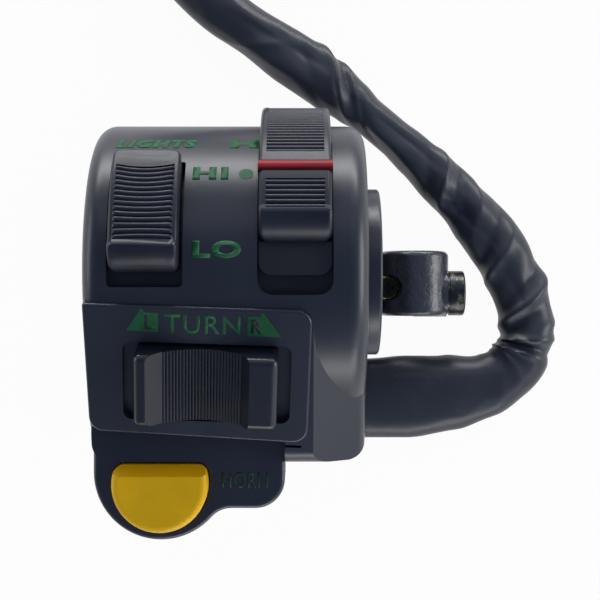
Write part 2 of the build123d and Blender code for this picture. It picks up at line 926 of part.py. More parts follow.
# Switch units that turn about the bar: slider with shutter, carrier and tongue, then what it carries
units = {"dimmer": dimmer, "lights": lights}
for name, unit in units.items():
    x = unit["x"]
    carrier = unit["carrier"]
    with BuildPart() as slider:
        extrude(
            band(
                x - slider_half_width,
                slider_inner,
                slider_outer,
                unit["band_low"],
                unit["band_high"],
            ),
            amount=2 * slider_half_width,
        )
        extrude(
            band(
                x - carrier_width / 2,
                carrier_inner,
                slider_inner,
                carrier - carrier_arc / 2,
                carrier + carrier_arc / 2,
            ),
            amount=carrier_width,
        )
        extrude(
            band(
                x - tongue_width / 2,
                slider_outer,
                slider_outer + tongue_height,
                carrier - tongue_arc / 2,
                carrier + tongue_arc / 2,
            ),
            amount=tongue_width,
        )
        if name == "lights":
            add(skirt.part)
        extrude(
            circle_at(
                radial_plane(x, carrier_inner - overrun, carrier),
                ball_radius + detent_hole_gap,
                (detent_shift, 0),
            ),
            amount=detent_top - carrier_inner + overrun,
            mode=Mode.SUBTRACT,
        )
    save(slider, f"{name}_slider")

    with BuildPart() as contact:
        extrude(
            band(
                x + contact_shift - contact_width / 2,
                contact_inner,
                carrier_inner,
                carrier - contact_arc / 2,
                carrier + contact_arc / 2,
            ),
            amount=contact_width,
        )
    save(contact, f"{name}_contact")

    ball_plane = radial_plane(x, ball_place, carrier)
    with BuildPart() as ball:
        with Locations(ball_plane.from_local_coords((detent_shift, 0, 0))):
            Sphere(ball_radius)
    save(ball, f"{name}_detent_ball")

    spring_foot = Plane(
        origin=ball_plane.from_local_coords((detent_shift, 0, ball_radius)),
        x_dir=(1, 0, 0),
        z_dir=ball_plane.z_dir,
    )
    with BuildPart() as spring:
        add(detent_coil(spring_foot, detent_top - ball_place - ball_radius))
    save(spring, f"{name}_detent_spring")

    with BuildPart() as base:
        extrude(
            band(x - base_half_width, base_inner, base_outer, unit["base_low"], unit["base_high"]),
            amount=2 * base_half_width,
        )
        extrude(
            circle_at(
                radial_plane(x, base_inner - overrun, unit["post"]),
                base_screw_radius + fit_gap,
            ),
            amount=base_thickness + 2 * overrun,
            mode=Mode.SUBTRACT,
        )
        extrude(
            circle_at(
                radial_plane(x, base_inner + base_seat_depth, unit["post"]),
                base_screw_head_radius + slide_gap,
            ),
            amount=-overrun,
            mode=Mode.SUBTRACT,
        )
        for step in (-1, 0, 1):
            extrude(
                circle_at(
                    radial_plane(x, base_inner - overrun, carrier + step * rivet_spacing_angle),
                    rivet_radius + fit_gap,
                    (contact_shift, 0),
                ),
                amount=base_thickness + 2 * overrun,
                mode=Mode.SUBTRACT,
            )
        for angle in (carrier, carrier + unit["up"] - unit["down"]):
            dimple = radial_plane(x, base_outer + ball_radius - dimple_depth, angle)
            with Locations(dimple.from_local_coords((detent_shift, 0, 0))):
                Sphere(ball_radius, mode=Mode.SUBTRACT)
    save(base, f"{name}_contact_base")

    with BuildPart() as rivets:
        for step in (-1, 0, 1):
            rivet_plane = radial_plane(x, base_outer, carrier + step * rivet_spacing_angle)
            extrude(
                circle_at(rivet_plane, rivet_radius, (contact_shift, 0)),
                amount=-base_thickness - rivet_tail,
            )
            extrude(
                circle_at(rivet_plane, rivet_head_radius, (contact_shift, 0)),
                amount=rivet_head,
            )
    save(rivets, f"{name}_contact_rivets")

    with BuildPart() as base_screw:
        seat = radial_plane(x, base_inner + base_seat_depth, unit["post"])
        add(
            screw(
                Plane(origin=seat.origin, x_dir=seat.x_dir, z_dir=-seat.z_dir),
                base_screw_radius,
                base_thickness - base_seat_depth + base_screw_grip - fit_gap,
                base_screw_head_radius,
                base_screw_head,
            )
        )
    save(base_screw, f"{name}_base_screw")


def arc_at(radius, low, high):
    """Arc about the bar at a radius, in the side view."""
    ThreePointArc(polar(radius, low), polar(radius, (low + high) / 2), polar(radius, high))


def on_grip(angle, height):
    """Point of a thumb knob's gripping surface."""
    return polar(knob_radius + height, angle)


def thumb_outline(unit, lip):
    """Side outline of a thumb knob before its ribs: chin, lip, back and the stem to the slider."""
    low = unit["knob_low"]
    high = unit["knob_high"]
    stem_high = unit["stem_high"]
    under = drum_radius + surface_gap
    chin_radius = drum_radius + chin_rise
    lip_end = lip + lip_flat_angle
    bulge_angle = low + (lip - low) * chin_bulge_share
    ThreePointArc(
        polar(chin_radius, low),
        polar((drum_radius + lip_radius) / 2 + chin_bulge, bulge_angle),
        polar(lip_radius, lip),
    )
    Line(polar(lip_radius, lip), polar(lip_radius, lip_end))
    Line(polar(lip_radius, lip_end), polar(rim_radius, lip_end + lip_fall_angle))
    arc_at(rim_radius, lip_end + lip_fall_angle, high)
    if high > stem_high:
        Line(polar(rim_radius, high), polar(under, high))
        arc_at(under, stem_high, high)
        Line(polar(under, stem_high), polar(slider_outer, stem_high))
    else:
        Line(polar(rim_radius, high), polar(slider_outer, high))
    arc_at(slider_outer, low, stem_high)
    Line(polar(slider_outer, low), polar(chin_radius, low))


def rib_outline(low, high, count):
    """Side outline of what is cut away above a row of ribs."""
    rib_arcs(on_grip, low, high, count, rib_height)
    Line(on_grip(high, 0), polar(rim_radius + overrun, high))
    arc_at(rim_radius + overrun, low, high)
    Line(polar(rim_radius + overrun, low), on_grip(low, 0))


def plan_corners(body, unit):
    """The upright edges at the two ends of a thumb knob, as its face is looked at."""
    chosen = []
    for edge in body.edges().filter_by(GeomType.LINE):
        middle = edge.center()
        angle = degrees(atan2(middle.Y, middle.Z))
        at_end = min(abs(angle - unit["knob_low"]), abs(angle - unit["knob_high"])) < angle_tolerance
        if at_end and abs(middle.X - unit["x"]) > unit["knob_width"] / 2 - tolerance:
            chosen.append(edge)
    return chosen


def upper_rims(body, unit):
    """The edges round the face of a thumb knob: both sides, the rounded corners and the far end."""
    chosen = []
    for edge in body.edges():
        middle = edge.center()
        radius = hypot(middle.Y, middle.Z)
        angle = degrees(atan2(middle.Y, middle.Z))
        near_end = abs(angle - unit["knob_high"]) < far_corner_angle
        far_corner = near_end and radius > rim_radius - tolerance
        at_side = abs(middle.X - unit["x"]) > unit["knob_width"] / 2 - tolerance and radius > rim_floor
        if far_corner or (at_side and edge.length > tolerance):
            chosen.append(edge)
    return chosen


def socket(unit):
    """Face and length of the socket that takes a slider's tongue."""
    spare = degrees(fit_gap / slider_outer)
    return band(
        unit["x"] - tongue_width / 2 - fit_gap,
        slider_outer - fit_gap,
        slider_outer + tongue_height + fit_gap,
        unit["carrier"] - tongue_arc / 2 - spare,
        unit["carrier"] + tongue_arc / 2 + spare,
    )


# Thumb knobs
with BuildPart() as dimmer_knob:
    with BuildSketch(Plane.YZ.offset(dimmer_x - knob_width / 2)):
        with BuildLine():
            thumb_outline(dimmer, dimmer_lip_angle)
        make_face()
    extrude(amount=knob_width)
    fillet(plan_corners(dimmer_knob, dimmer), knob_corner_round)
    fillet(upper_rims(dimmer_knob, dimmer), knob_edge_round)
    with BuildSketch(Plane.YZ.offset(dimmer_x - grip_width / 2)):
        with BuildLine():
            rib_outline(dimmer_rib_low, dimmer_rib_high, dimmer_rib_count)
        make_face()
    extrude(amount=grip_width, mode=Mode.SUBTRACT)
    extrude(socket(dimmer), amount=tongue_width + 2 * fit_gap, mode=Mode.SUBTRACT)
save(dimmer_knob, "dimmer_knob")

with BuildPart() as lights_knob:
    with BuildSketch(Plane.YZ.offset(lights_x - lights_knob_width / 2)):
        with BuildLine():
            thumb_outline(lights, lights_lip_angle)
        make_face()
    extrude(amount=lights_knob_width)
    fillet(plan_corners(lights_knob, lights), knob_corner_round)
    fillet(upper_rims(lights_knob, lights), knob_edge_round)
    for rib_low, rib_high, rib_count in (
        (lights_rib_low, lower_rib_high, lower_rib_count),
        (upper_rib_low, upper_rib_high, upper_rib_count),
    ):
        with BuildSketch(Plane.YZ.offset(lights_x - grip_width / 2)):
            with BuildLine():
                rib_outline(rib_low, rib_high, rib_count)
            make_face()
        extrude(amount=grip_width, mode=Mode.SUBTRACT)
    with BuildSketch(Plane.YZ.offset(lights_x - lights_knob_width / 2 - overrun)):
        with BuildLine():
            Line(polar(rim_radius + overrun, index_low), polar(index_floor, index_low))
            arc_at(index_floor, index_low, index_high)
            Line(polar(index_floor, index_high), polar(rim_radius + overrun, index_high))
            arc_at(rim_radius + overrun, index_low, index_high)
        make_face()
    extrude(amount=lights_knob_width + 2 * overrun, mode=Mode.SUBTRACT)
    extrude(socket(lights), amount=tongue_width + 2 * fit_gap, mode=Mode.SUBTRACT)
save(lights_knob, "lights_knob")

with BuildPart() as lights_index:
    with BuildSketch(Plane.YZ.offset(lights_x - lights_knob_width / 2 - index_proud)):
        with BuildLine():
            ThreePointArc(
                on_grip(index_low, rim_rise),
                on_grip((index_low + index_high) / 2, index_rise),
                on_grip(index_high, rim_rise),
            )
            Line(on_grip(index_high, rim_rise), polar(index_floor, index_high))
            arc_at(index_floor, index_low, index_high)
            Line(polar(index_floor, index_low), on_grip(index_low, rim_rise))
        make_face()
    extrude(amount=lights_knob_width + 2 * index_proud)
save(lights_index, "lights_index")

# Turn switch, on the panel's plane
turn_side_plane = Plane(origin=panel_centre, x_dir=panel_x_dir, z_dir=-panel_plane.y_dir)
turn_knob_bottom = turn_floor_level + slide_gap - panel_surface
turn_rib_middle = (turn_rib_first + turn_rib_last) / 2
turn_rib_reach = (turn_rib_last - turn_rib_first) / 2


def on_saddle(position, height):
    """Point of the turn knob's dip at a place along its slide and a height above the dip."""
    share = (position - turn_rib_middle) / turn_rib_reach
    return (position, turn_knob_height - turn_dip + turn_saddle_rise * share**2 + height)


with BuildPart() as turn_knob:
    with BuildSketch(turn_side_plane):
        with BuildLine():
            end = turn_knob_half_length
            top = turn_knob_height
            Line((-end, turn_knob_bottom), (-end, top - turn_end_round))
            RadiusArc((-end, top - turn_end_round), (turn_end_round - end, top), turn_end_round)
            Line((turn_end_round - end, top), (-turn_left_bump, top))
            Line((-turn_left_bump, top), on_saddle(turn_rib_first, 0))
            rib_arcs(on_saddle, turn_rib_first, turn_rib_last, turn_rib_count, turn_rib_height)
            Line(on_saddle(turn_rib_last, 0), (turn_right_bump, top))
            Line((turn_right_bump, top), (end - turn_end_round, top))
            RadiusArc((end - turn_end_round, top), (end, top - turn_end_round), turn_end_round)
            Line((end, top - turn_end_round), (end, turn_knob_bottom))
            Line((end, turn_knob_bottom), (-end, turn_knob_bottom))
        make_face()
    extrude(amount=turn_knob_half_height, both=True)
    corners = turn_knob.edges().filter_by(panel_axis)
    fillet(corners, turn_knob_round)
    extrude(
        box_at(
            panel_level(inner_radius),
            (-turn_tongue_half_length - fit_gap, -turn_tongue_half_height - fit_gap),
            (turn_tongue_half_length + fit_gap, turn_tongue_half_height + fit_gap),
        ),
        amount=slider_outer + turn_tongue_height + fit_gap - inner_radius,
        mode=Mode.SUBTRACT,
    )
save(turn_knob, "turn_knob")

with BuildPart() as turn_slider:
    for level, half_length, half_height, height in (
        (slider_inner, turn_slider_half_length, turn_slider_half_height, slider_thickness),
        (carrier_inner, turn_carrier_half_length, turn_carrier_half_height, carrier_thickness),
        (slider_outer, turn_tongue_half_length, turn_tongue_half_height, turn_tongue_height),
    ):
        extrude(
            box_at(panel_level(level), (-half_length, -half_height), (half_length, half_height)),
            amount=height,
        )
    extrude(
        circle_at(panel_level(carrier_inner), ball_radius + detent_hole_gap, (0, detent_shift)),
        amount=detent_top - carrier_inner,
        mode=Mode.SUBTRACT,
    )
save(turn_slider, "turn_slider")

with BuildPart() as turn_contact:
    extrude(
        box_at(
            panel_level(contact_inner),
            (-turn_contact_half_length, contact_shift - contact_width / 2),
            (turn_contact_half_length, contact_shift + contact_width / 2),
        ),
        amount=contact_thickness,
    )
save(turn_contact, "turn_contact")

with BuildPart() as turn_ball:
    with Locations(panel_level(ball_place).from_local_coords((0, detent_shift, 0))):
        Sphere(ball_radius)
save(turn_ball, "turn_detent_ball")


turn_spring_foot = Plane(
    origin=panel_level(ball_place + ball_radius).from_local_coords((0, detent_shift, 0)),
    x_dir=panel_x_dir,
    z_dir=tilt_normal,
)
with BuildPart() as turn_spring:
    add(detent_coil(turn_spring_foot, detent_top - ball_place - ball_radius))
save(turn_spring, "turn_detent_spring")

with BuildPart() as turn_base:
    extrude(
        box_at(
            panel_level(base_inner),
            (-turn_channel_half - turn_seat_wall, -turn_base_half_height),
            (turn_post_x + post_radius, turn_base_half_height),
        ),
        amount=base_thickness,
    )
    extrude(
        circle_at(panel_level(base_inner), base_screw_radius + fit_gap, (turn_post_x, 0)),
        amount=base_thickness,
        mode=Mode.SUBTRACT,
    )
    for step in (-1, 0, 1):
        extrude(
            circle_at(
                panel_level(base_inner),
                rivet_radius + fit_gap,
                (step * rivet_spacing, contact_shift),
            ),
            amount=base_thickness,
            mode=Mode.SUBTRACT,
        )
        dimple_level = panel_level(base_outer + ball_radius - dimple_depth)
        with Locations(dimple_level.from_local_coords((step * turn_travel, detent_shift, 0))):
            Sphere(ball_radius, mode=Mode.SUBTRACT)
save(turn_base, "turn_contact_base")

with BuildPart() as turn_rivets:
    for step in (-1, 0, 1):
        place = (step * rivet_spacing, contact_shift)
        extrude(
            circle_at(panel_level(base_outer), rivet_radius, place),
            amount=-base_thickness - rivet_tail,
        )
        extrude(circle_at(panel_level(base_outer), rivet_head_radius, place), amount=rivet_head)
save(turn_rivets, "turn_contact_rivets")

with BuildPart() as turn_base_screw:
    seat_point = panel_level(base_inner).from_local_coords((turn_post_x, 0, 0))
    add(
        screw(
            Plane(origin=seat_point, x_dir=panel_x_dir, z_dir=-tilt_normal),
            base_screw_radius,
            base_thickness + base_screw_grip - fit_gap,
            base_screw_head_radius,
            base_screw_head,
        )
    )
save(turn_base_screw, "turn_base_screw")

# Horn button, its spring and contacts
flange_top = plate_inner - slide_gap
flange_bottom = flange_top - button_flange_thickness
button_top = plate_front + button_height
horn_base_bottom = horn_base_top - base_thickness
with BuildPart() as horn_button:
    extrude(button_outline(flange_bottom, 0), amount=button_top - flange_bottom)
    fillet(horn_button.faces().sort_by(Axis.Z)[-1].edges(), button_edge_round)
    with BuildSketch(Plane.YZ.offset(button_x - button_radius)):
        with BuildLine():
            Polyline(
                (button_top_y - button_bevel_run, button_top + overrun),
                (button_top_y - button_bevel_run, button_top),
                (button_top_y, button_top - button_bevel_drop),
                (button_top_y + overrun, button_top - button_bevel_drop),
                (button_top_y + overrun, button_top + overrun),
                (button_top_y - button_bevel_run, button_top + overrun),
            )
        make_face()
    extrude(amount=2 * button_radius, mode=Mode.SUBTRACT)
    extrude(button_outline(flange_bottom, button_flange), amount=button_flange_thickness)
    extrude(
        circle_at(Plane.XY.offset(flange_bottom), stem_radius, (button_x, horn_axis_y)),
        amount=-stem_length,
    )
save(horn_button, "horn_button")

with BuildPart() as horn_contact:
    extrude(
        circle_at(
            Plane.XY.offset(flange_bottom - stem_length),
            horn_contact_radius,
            (button_x, horn_axis_y),
        ),
        amount=-contact_thickness,
    )
save(horn_contact, "horn_contact")

horn_spring_length = flange_bottom - horn_base_top
with BuildPart() as horn_spring:
    with BuildLine() as horn_coil:
        Helix(
            (horn_spring_length - 2 * horn_spring_wire) / horn_spring_turns,
            horn_spring_length - 2 * horn_spring_wire,
            horn_spring_radius,
            center=(button_x, horn_axis_y, horn_base_top + horn_spring_wire),
        )
    with BuildSketch(Plane(origin=horn_coil.line @ 0, z_dir=horn_coil.line % 0)):
        Circle(horn_spring_wire)
    sweep(path=horn_coil.line, is_frenet=True)
save(horn_spring, "horn_spring")

horn_screw_places = [(button_x + side * horn_post_x, horn_post_y) for side in (-1, 1)]
with BuildPart() as horn_base:
    extrude(
        circle_at(Plane.XY.offset(horn_base_bottom), horn_base_radius, (lobe_x, lobe_y)),
        amount=base_thickness,
    )
    extrude(
        box_at(
            Plane.XY.offset(horn_base_bottom),
            (button_x - horn_ear_half_length, horn_post_y - horn_ear_half_width),
            (button_x + horn_ear_half_length, horn_post_y + horn_ear_half_width),
        ),
        amount=base_thickness,
    )
    for point in horn_screw_places:
        extrude(
            circle_at(Plane.XY.offset(horn_base_bottom), base_screw_radius + fit_gap, point),
            amount=base_thickness,
            mode=Mode.SUBTRACT,
        )
    for side in (-1, 1):
        extrude(
            circle_at(
                Plane.XY.offset(horn_base_bottom),
                rivet_radius + fit_gap,
                (button_x + side * horn_rivet_offset, horn_axis_y),
            ),
            amount=base_thickness,
            mode=Mode.SUBTRACT,
        )
save(horn_base, "horn_contact_base")

with BuildPart() as horn_rivets:
    for side in (-1, 1):
        place = (button_x + side * horn_rivet_offset, horn_axis_y)
        extrude(
            circle_at(Plane.XY.offset(horn_base_top), rivet_radius, place),
            amount=-base_thickness - rivet_tail,
        )
        extrude(
            circle_at(Plane.XY.offset(horn_base_top), rivet_head_radius, place),
            amount=rivet_head,
        )
save(horn_rivets, "horn_contact_rivets")

with BuildPart() as horn_base_screws:
    for point in horn_screw_places:
        add(
            screw(
                Plane(origin=(point[0], point[1], horn_base_bottom), z_dir=(0, 0, -1)),
                base_screw_radius,
                base_thickness + base_screw_grip - fit_gap,
                base_screw_head_radius,
                base_screw_head,
            )
        )
save(horn_base_screws, "horn_base_screws")

# Mirror bracket and its hardware
spot_x = boss_x + boss_radius - spot_face_depth
bolt_plane = Plane(origin=(spot_x, lock_bolt_y, boss_z), x_dir=(0, 1, 0), z_dir=(1, 0, 0))
boss_plane = Plane(origin=(boss_x, boss_low_y, boss_z), x_dir=(1, 0, 0), z_dir=(0, 1, 0))
with BuildPart() as mirror_bracket:
    extrude(circle_at(boss_plane, boss_radius), amount=boss_high_y - boss_low_y)
    fillet(mirror_bracket.edges().filter_by(GeomType.CIRCLE), boss_round)
    extrude(
        box_at(
            Plane.XY.offset(arm_low_z),
            (casing_half_width, boss_low_y + arm_inset),
            (boss_x, boss_high_y - arm_inset),
        ),
        amount=arm_top_z - arm_low_z,
    )
    extrude(circle_at(bolt_plane, spot_face_radius), amount=-boss_radius + spot_face_depth)
    extrude(circle_at(bolt_plane, spot_face_radius), amount=boss_radius, mode=Mode.SUBTRACT)
    extrude(
        circle_at(boss_plane, mirror_hole_radius),
        amount=boss_high_y - boss_low_y,
        mode=Mode.SUBTRACT,
    )
    extrude(
        circle_at(bolt_plane, lock_bolt_radius + fit_gap),
        amount=-boss_radius,
        mode=Mode.SUBTRACT,
    )
    extrude(
        circle_at(
            Plane.XY.offset(arm_low_z),
            bracket_screw_radius + fit_gap,
            (bracket_screw_x, bracket_screw_y),
        ),
        amount=arm_top_z - arm_low_z,
        mode=Mode.SUBTRACT,
    )
    extrude(
        circle_at(
            Plane.XY.offset(arm_top_z),
            bracket_screw_head_radius + head_gap,
            (bracket_screw_x, bracket_screw_y),
        ),
        amount=boss_radius,
        mode=Mode.SUBTRACT,
    )
save(mirror_bracket, "mirror_bracket")

with BuildPart() as bracket_screw:
    add(
        screw(
            Plane(origin=(bracket_screw_x, bracket_screw_y, arm_top_z)),
            bracket_screw_radius,
            arm_top_z - arm_low_z + ledge_thickness - fit_gap,
            bracket_screw_head_radius,
            bracket_screw_head,
        )
    )
save(bracket_screw, "bracket_screw")

with BuildPart() as lock_washer:
    with BuildSketch(bolt_plane):
        Circle(washer_radius)
        Circle(lock_bolt_radius + fit_gap, mode=Mode.SUBTRACT)
    extrude(amount=washer_thickness)
save(lock_washer, "mirror_lock_washer")

head_plane = bolt_plane.offset(washer_thickness)
bolt_reach = boss_radius - spot_face_depth - mirror_hole_radius - slide_gap
with BuildPart() as lock_bolt:
    extrude(circle_at(head_plane, lock_bolt_radius), amount=-washer_thickness - bolt_reach)
    extrude(circle_at(head_plane, lock_bolt_head_radius), amount=lock_bolt_head)
    fillet(lock_bolt.faces().sort_by(Axis.X)[-1].edges(), lock_bolt_round)
    with BuildSketch(head_plane.offset(lock_bolt_head * (1 - drive_depth_share))):
        RegularPolygon(lock_bolt_head_radius * drive_share, 6)
    extrude(amount=lock_bolt_head, mode=Mode.SUBTRACT)
save(lock_bolt, "mirror_lock_bolt")

# Grommet in the end wall of the rear casing
with BuildPart() as cable_grommet:
    for place, length, height, thickness in (
        (casing_half_width, grommet_flange_length, grommet_flange_height, grommet_flange),
        (inner_half, grommet_neck_length, grommet_neck_height, end_wall),
        (
            inner_half - grommet_lip,
            grommet_neck_length + 2 * grommet_lip_rim,
            grommet_neck_height + 2 * grommet_lip_rim,
            grommet_lip,
        ),
    ):
        with BuildSketch(Plane.YZ.offset(place)):
            with Locations((grommet_y, grommet_z)):
                SlotOverall(length, height)
        extrude(amount=thickness)
    with BuildSketch(Plane.YZ.offset(inner_half - grommet_lip)):
        with Locations((grommet_y, grommet_z)):
            SlotOverall(grommet_bore_length, grommet_bore_height)
    extrude(amount=grommet_lip + end_wall + grommet_flange, mode=Mode.SUBTRACT)
save(cable_grommet, "cable_grommet")


def cord_path(points):
    """Line through a cord's route points, rounded at each by as much as its shorter run allows."""
    radii = []
    for i in range(1, len(points) - 1):
        before = Vector(*points[i]) - Vector(*points[i - 1])
        after = Vector(*points[i + 1]) - Vector(*points[i])
        turn = before.get_angle(after)
        radii.append(min(before.length, after.length) * cord_round_share / tan(radians(turn / 2)))
    with BuildLine() as path:
        FilletPolyline(*points, radius=radii)
    return path.wire()


# Vinyl sleeve of the harness, lying beside and above the switch
sleeve_points = [
    (26.6, -26.0, -21.0),
    (41.6, -26.0, -21.0),
    (61.6, -20.9, -22.5),
    (59.8, -0.1, -22.5),
    (43.4, 20.1, -22.5),
    (17.4, 41.9, -22.5),
    (-12.8, 61.5, -22.5),
    (-21.3, 86.3, -22.5),
    (-12.8, 111.1, -22.5),
    (9.2, 125.4, -22.5),
    (35.3, 123.1, -22.5),
    (56.0, 113.0, -22.5),
]
sleeve_line = cord_path(sleeve_points)
with BuildPart() as harness_sleeve:
    with BuildSketch(Plane(origin=sleeve_line @ 0, z_dir=sleeve_line % 0)):
        Circle(sleeve_radius)
        Circle(sleeve_radius - sleeve_wall, mode=Mode.SUBTRACT)
    sweep(path=sleeve_line)
save(harness_sleeve, "harness_sleeve")

# Wires from the sleeve's mouth to the connector, in 2 rows of 3
wire_routes = {
    "battery": [
        (47.8, 114.4, -23.6),
        (62.0, 104.8, -23.6),
        (78.68, 95.06, -25.5),
        (89.33, 87.6, -25.5),
    ],
    "lamp_high": [
        (48.8, 116.5, -23.6),
        (63.6, 108.0, -23.6),
        (81.55, 99.16, -25.5),
        (92.2, 91.7, -25.5),
    ],
    "lamp_low": [
        (49.8, 118.6, -23.6),
        (65.1, 111.1, -23.6),
        (84.42, 103.26, -25.5),
        (95.07, 95.8, -25.5),
    ],
    "turn_left": [
        (47.8, 114.4, -21.4),
        (63.1, 107.0, -21.4),
        (78.68, 95.06, -21.5),
        (89.33, 87.6, -21.5),
    ],
    "turn_right": [
        (48.8, 116.5, -21.4),
        (64.6, 110.1, -21.4),
        (81.55, 99.16, -21.5),
        (92.2, 91.7, -21.5),
    ],
    "horn": [
        (49.8, 118.6, -21.4),
        (66.1, 113.3, -21.4),
        (84.42, 103.26, -21.5),
        (95.07, 95.8, -21.5),
    ],
}
for wire_name, wire_points in wire_routes.items():
    wire_line = cord_path(wire_points)
    with BuildPart() as wire:
        with BuildSketch(Plane(origin=wire_line @ 0, z_dir=wire_line % 0)):
            Circle(wire_radius)
        sweep(path=wire_line)
    save(wire, f"wire_{wire_name}")

# Connector at the wires' ends, resting on the surface that the switch lies on
plug_dir = Vector(cos(radians(plug_angle)), sin(radians(plug_angle)), 0)
plug_side = Vector(-plug_dir.Y, plug_dir.X, 0)
plug_back = Plane(
    origin=(plug_x, plug_y, connector_height / 2 - drum_radius),
    x_dir=plug_side,
    z_dir=plug_dir,
)
plug_top = Plane(
    origin=plug_back.from_local_coords((0, connector_height / 2, 0)),
    x_dir=plug_dir,
    z_dir=(0, 0, 1),
)
plug_spots = [
    (column * wire_spread, row * wire_layer / 2) for column in (-1, 0, 1) for row in (-1, 1)
]
with BuildPart() as connector_housing:
    with BuildSketch(plug_back):
        RectangleRounded(connector_width, connector_height, connector_round)
    extrude(amount=connector_length)
    extrude(
        box_at(plug_top, (0, -latch_width / 2), (latch_length, latch_width / 2)),
        amount=latch_height,
    )
    for spot in plug_spots:
        with BuildSketch(plug_back.offset(connector_length)):
            with Locations(spot):
                Rectangle(cavity_size, cavity_size)
        extrude(amount=-cavity_depth, mode=Mode.SUBTRACT)
        extrude(
            circle_at(plug_back.offset(connector_length), pin_radius + fit_gap, spot),
            amount=-pin_setback - pin_length,
            mode=Mode.SUBTRACT,
        )
save(connector_housing, "connector_housing")

with BuildPart() as connector_pins:
    for spot in plug_spots:
        extrude(
            circle_at(plug_back.offset(connector_length - pin_setback), pin_radius, spot),
            amount=-pin_length,
        )
save(connector_pins, "connector_pins")
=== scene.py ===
"""Handlebar switch cluster, dressed: finishes, legends, the creased sleeve, the wires, the dimmer's
curved ribs and the horn's spring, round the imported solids."""

import math

import bpy
from bpy.props import FloatProperty, FloatVectorProperty, IntProperty, PointerProperty
from mathutils import Matrix, Vector, noise


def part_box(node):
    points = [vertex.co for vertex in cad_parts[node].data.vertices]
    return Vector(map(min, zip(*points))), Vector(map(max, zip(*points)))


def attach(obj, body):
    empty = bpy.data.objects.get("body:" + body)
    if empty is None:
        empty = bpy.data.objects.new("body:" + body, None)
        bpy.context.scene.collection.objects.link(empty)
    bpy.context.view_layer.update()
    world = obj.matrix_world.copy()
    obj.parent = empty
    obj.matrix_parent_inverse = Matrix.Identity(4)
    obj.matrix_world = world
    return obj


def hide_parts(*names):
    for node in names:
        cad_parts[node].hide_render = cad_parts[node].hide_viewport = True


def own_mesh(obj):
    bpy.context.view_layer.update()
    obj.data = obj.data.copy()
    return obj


bl_info = {
    "name": "Handlebar Switch Cluster",
    "version": (1, 0, 0),
    "blender": (4, 5, 0),
    "location": "View3D > Sidebar > Switch Cluster",
    "description": "Finishes, legends, harness sleeve and wires for a left-hand handlebar switch cluster",
    "category": "Object",
}

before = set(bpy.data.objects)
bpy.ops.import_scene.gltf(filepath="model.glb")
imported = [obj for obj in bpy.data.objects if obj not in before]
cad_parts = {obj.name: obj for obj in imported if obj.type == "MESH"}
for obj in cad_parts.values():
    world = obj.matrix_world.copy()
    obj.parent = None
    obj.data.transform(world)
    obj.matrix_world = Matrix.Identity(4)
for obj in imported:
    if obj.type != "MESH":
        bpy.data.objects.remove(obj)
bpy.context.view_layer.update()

# Lengths in millimetres and angles in degrees, where nothing else is said
MM = 0.001
DRUM_RADIUS = 28.0
INDEX_ANGLE = 35.05  # about the bar, at the middle of the red index
PANEL_TILT = 21.0
PANEL_ROLL = -2.0
PANEL_SURFACE = 28.6
PANEL_CENTRE_X = -3.43
PANEL_CENTRE_DOWN = 10.52
PLATE_FRONT = 15.0
TABLE_LEVEL = -28.0
TABLE_GAP = 0.2  # between the switch's back and the table
TABLE_WHITE = 0.96  # share of plain white in what the camera sees of it
CAMERA_ACROSS = 13.0
CAMERA_DOWN = 5.42

TENT_HEIGHTS = (0.10, 0.80)  # upward share of the direction: the low colour ends, the high one begins
TENT_LOW = (1.15, 1.18, 1.25)
TENT_HIGH = (0.52, 0.66, 1.0)

# Name, place and size in metres, property and share of its power
LIGHTS = (
    ("light_top", (0.02, 0.62, 0.03), (0.9, 0.22), "key", 1.0),
    ("light_right", (0.56, 0.02, 0.16), (0.4, 0.2), "side", 1.0),
    ("light_left", (-0.55, 0.10, 0.14), (0.4, 0.16), "side", 0.4),
    ("light_front", (0.16, -0.56, 0.12), (0.5, 0.16), "side", 0.9),
    ("light_high", (0.05, 0.36, 0.44), (0.6, 0.16), "side", 0.12),
    ("light_low", (0.46, -0.30, 0.18), (0.3, 0.2), "side", 0.12),
)

SLEEVE_ROUTE = [
    (26.6, -26.0, -21.0), (41.6, -26.0, -21.0), (61.6, -20.9, -22.5), (59.8, -0.1, -22.5),
    (43.4, 20.1, -22.5), (17.4, 41.9, -22.5), (-12.8, 61.5, -22.5), (-21.3, 86.3, -22.5),
    (-12.8, 111.1, -22.5), (9.2, 125.4, -22.5), (35.3, 123.1, -22.5), (56.0, 113.0, -22.5),
]
SLEEVE_REACH = (4.0, 8.95)  # least and most, from the middle to the skin
SLEEVE_RISE = (-5.3, 5.9)  # lowest and highest of the skin, from the middle; the table is 5.5 below
SLEEVE_FADE = 6.0  # length over which the creases begin
SLEEVE_END = [(0.88, 0.0), (0.86, 7.0)]  # rings turned in: share of the radius, distance back
CREASE_HEIGHT = 0.00075  # in metres
CREASE_WINDOW = 26.0  # a crease counts within this distance along the sleeve
PLEAT_WINDOW = 2.6  # a pleat counts within this many times its reach
CREASE_SHARE = 0.6  # of what crease_height gives
RIDGES_SHARE = 0.16  # weights of the two kinds of noise
SWELL_SHARE = 0.5
WIRE_RADIUS = 1.0
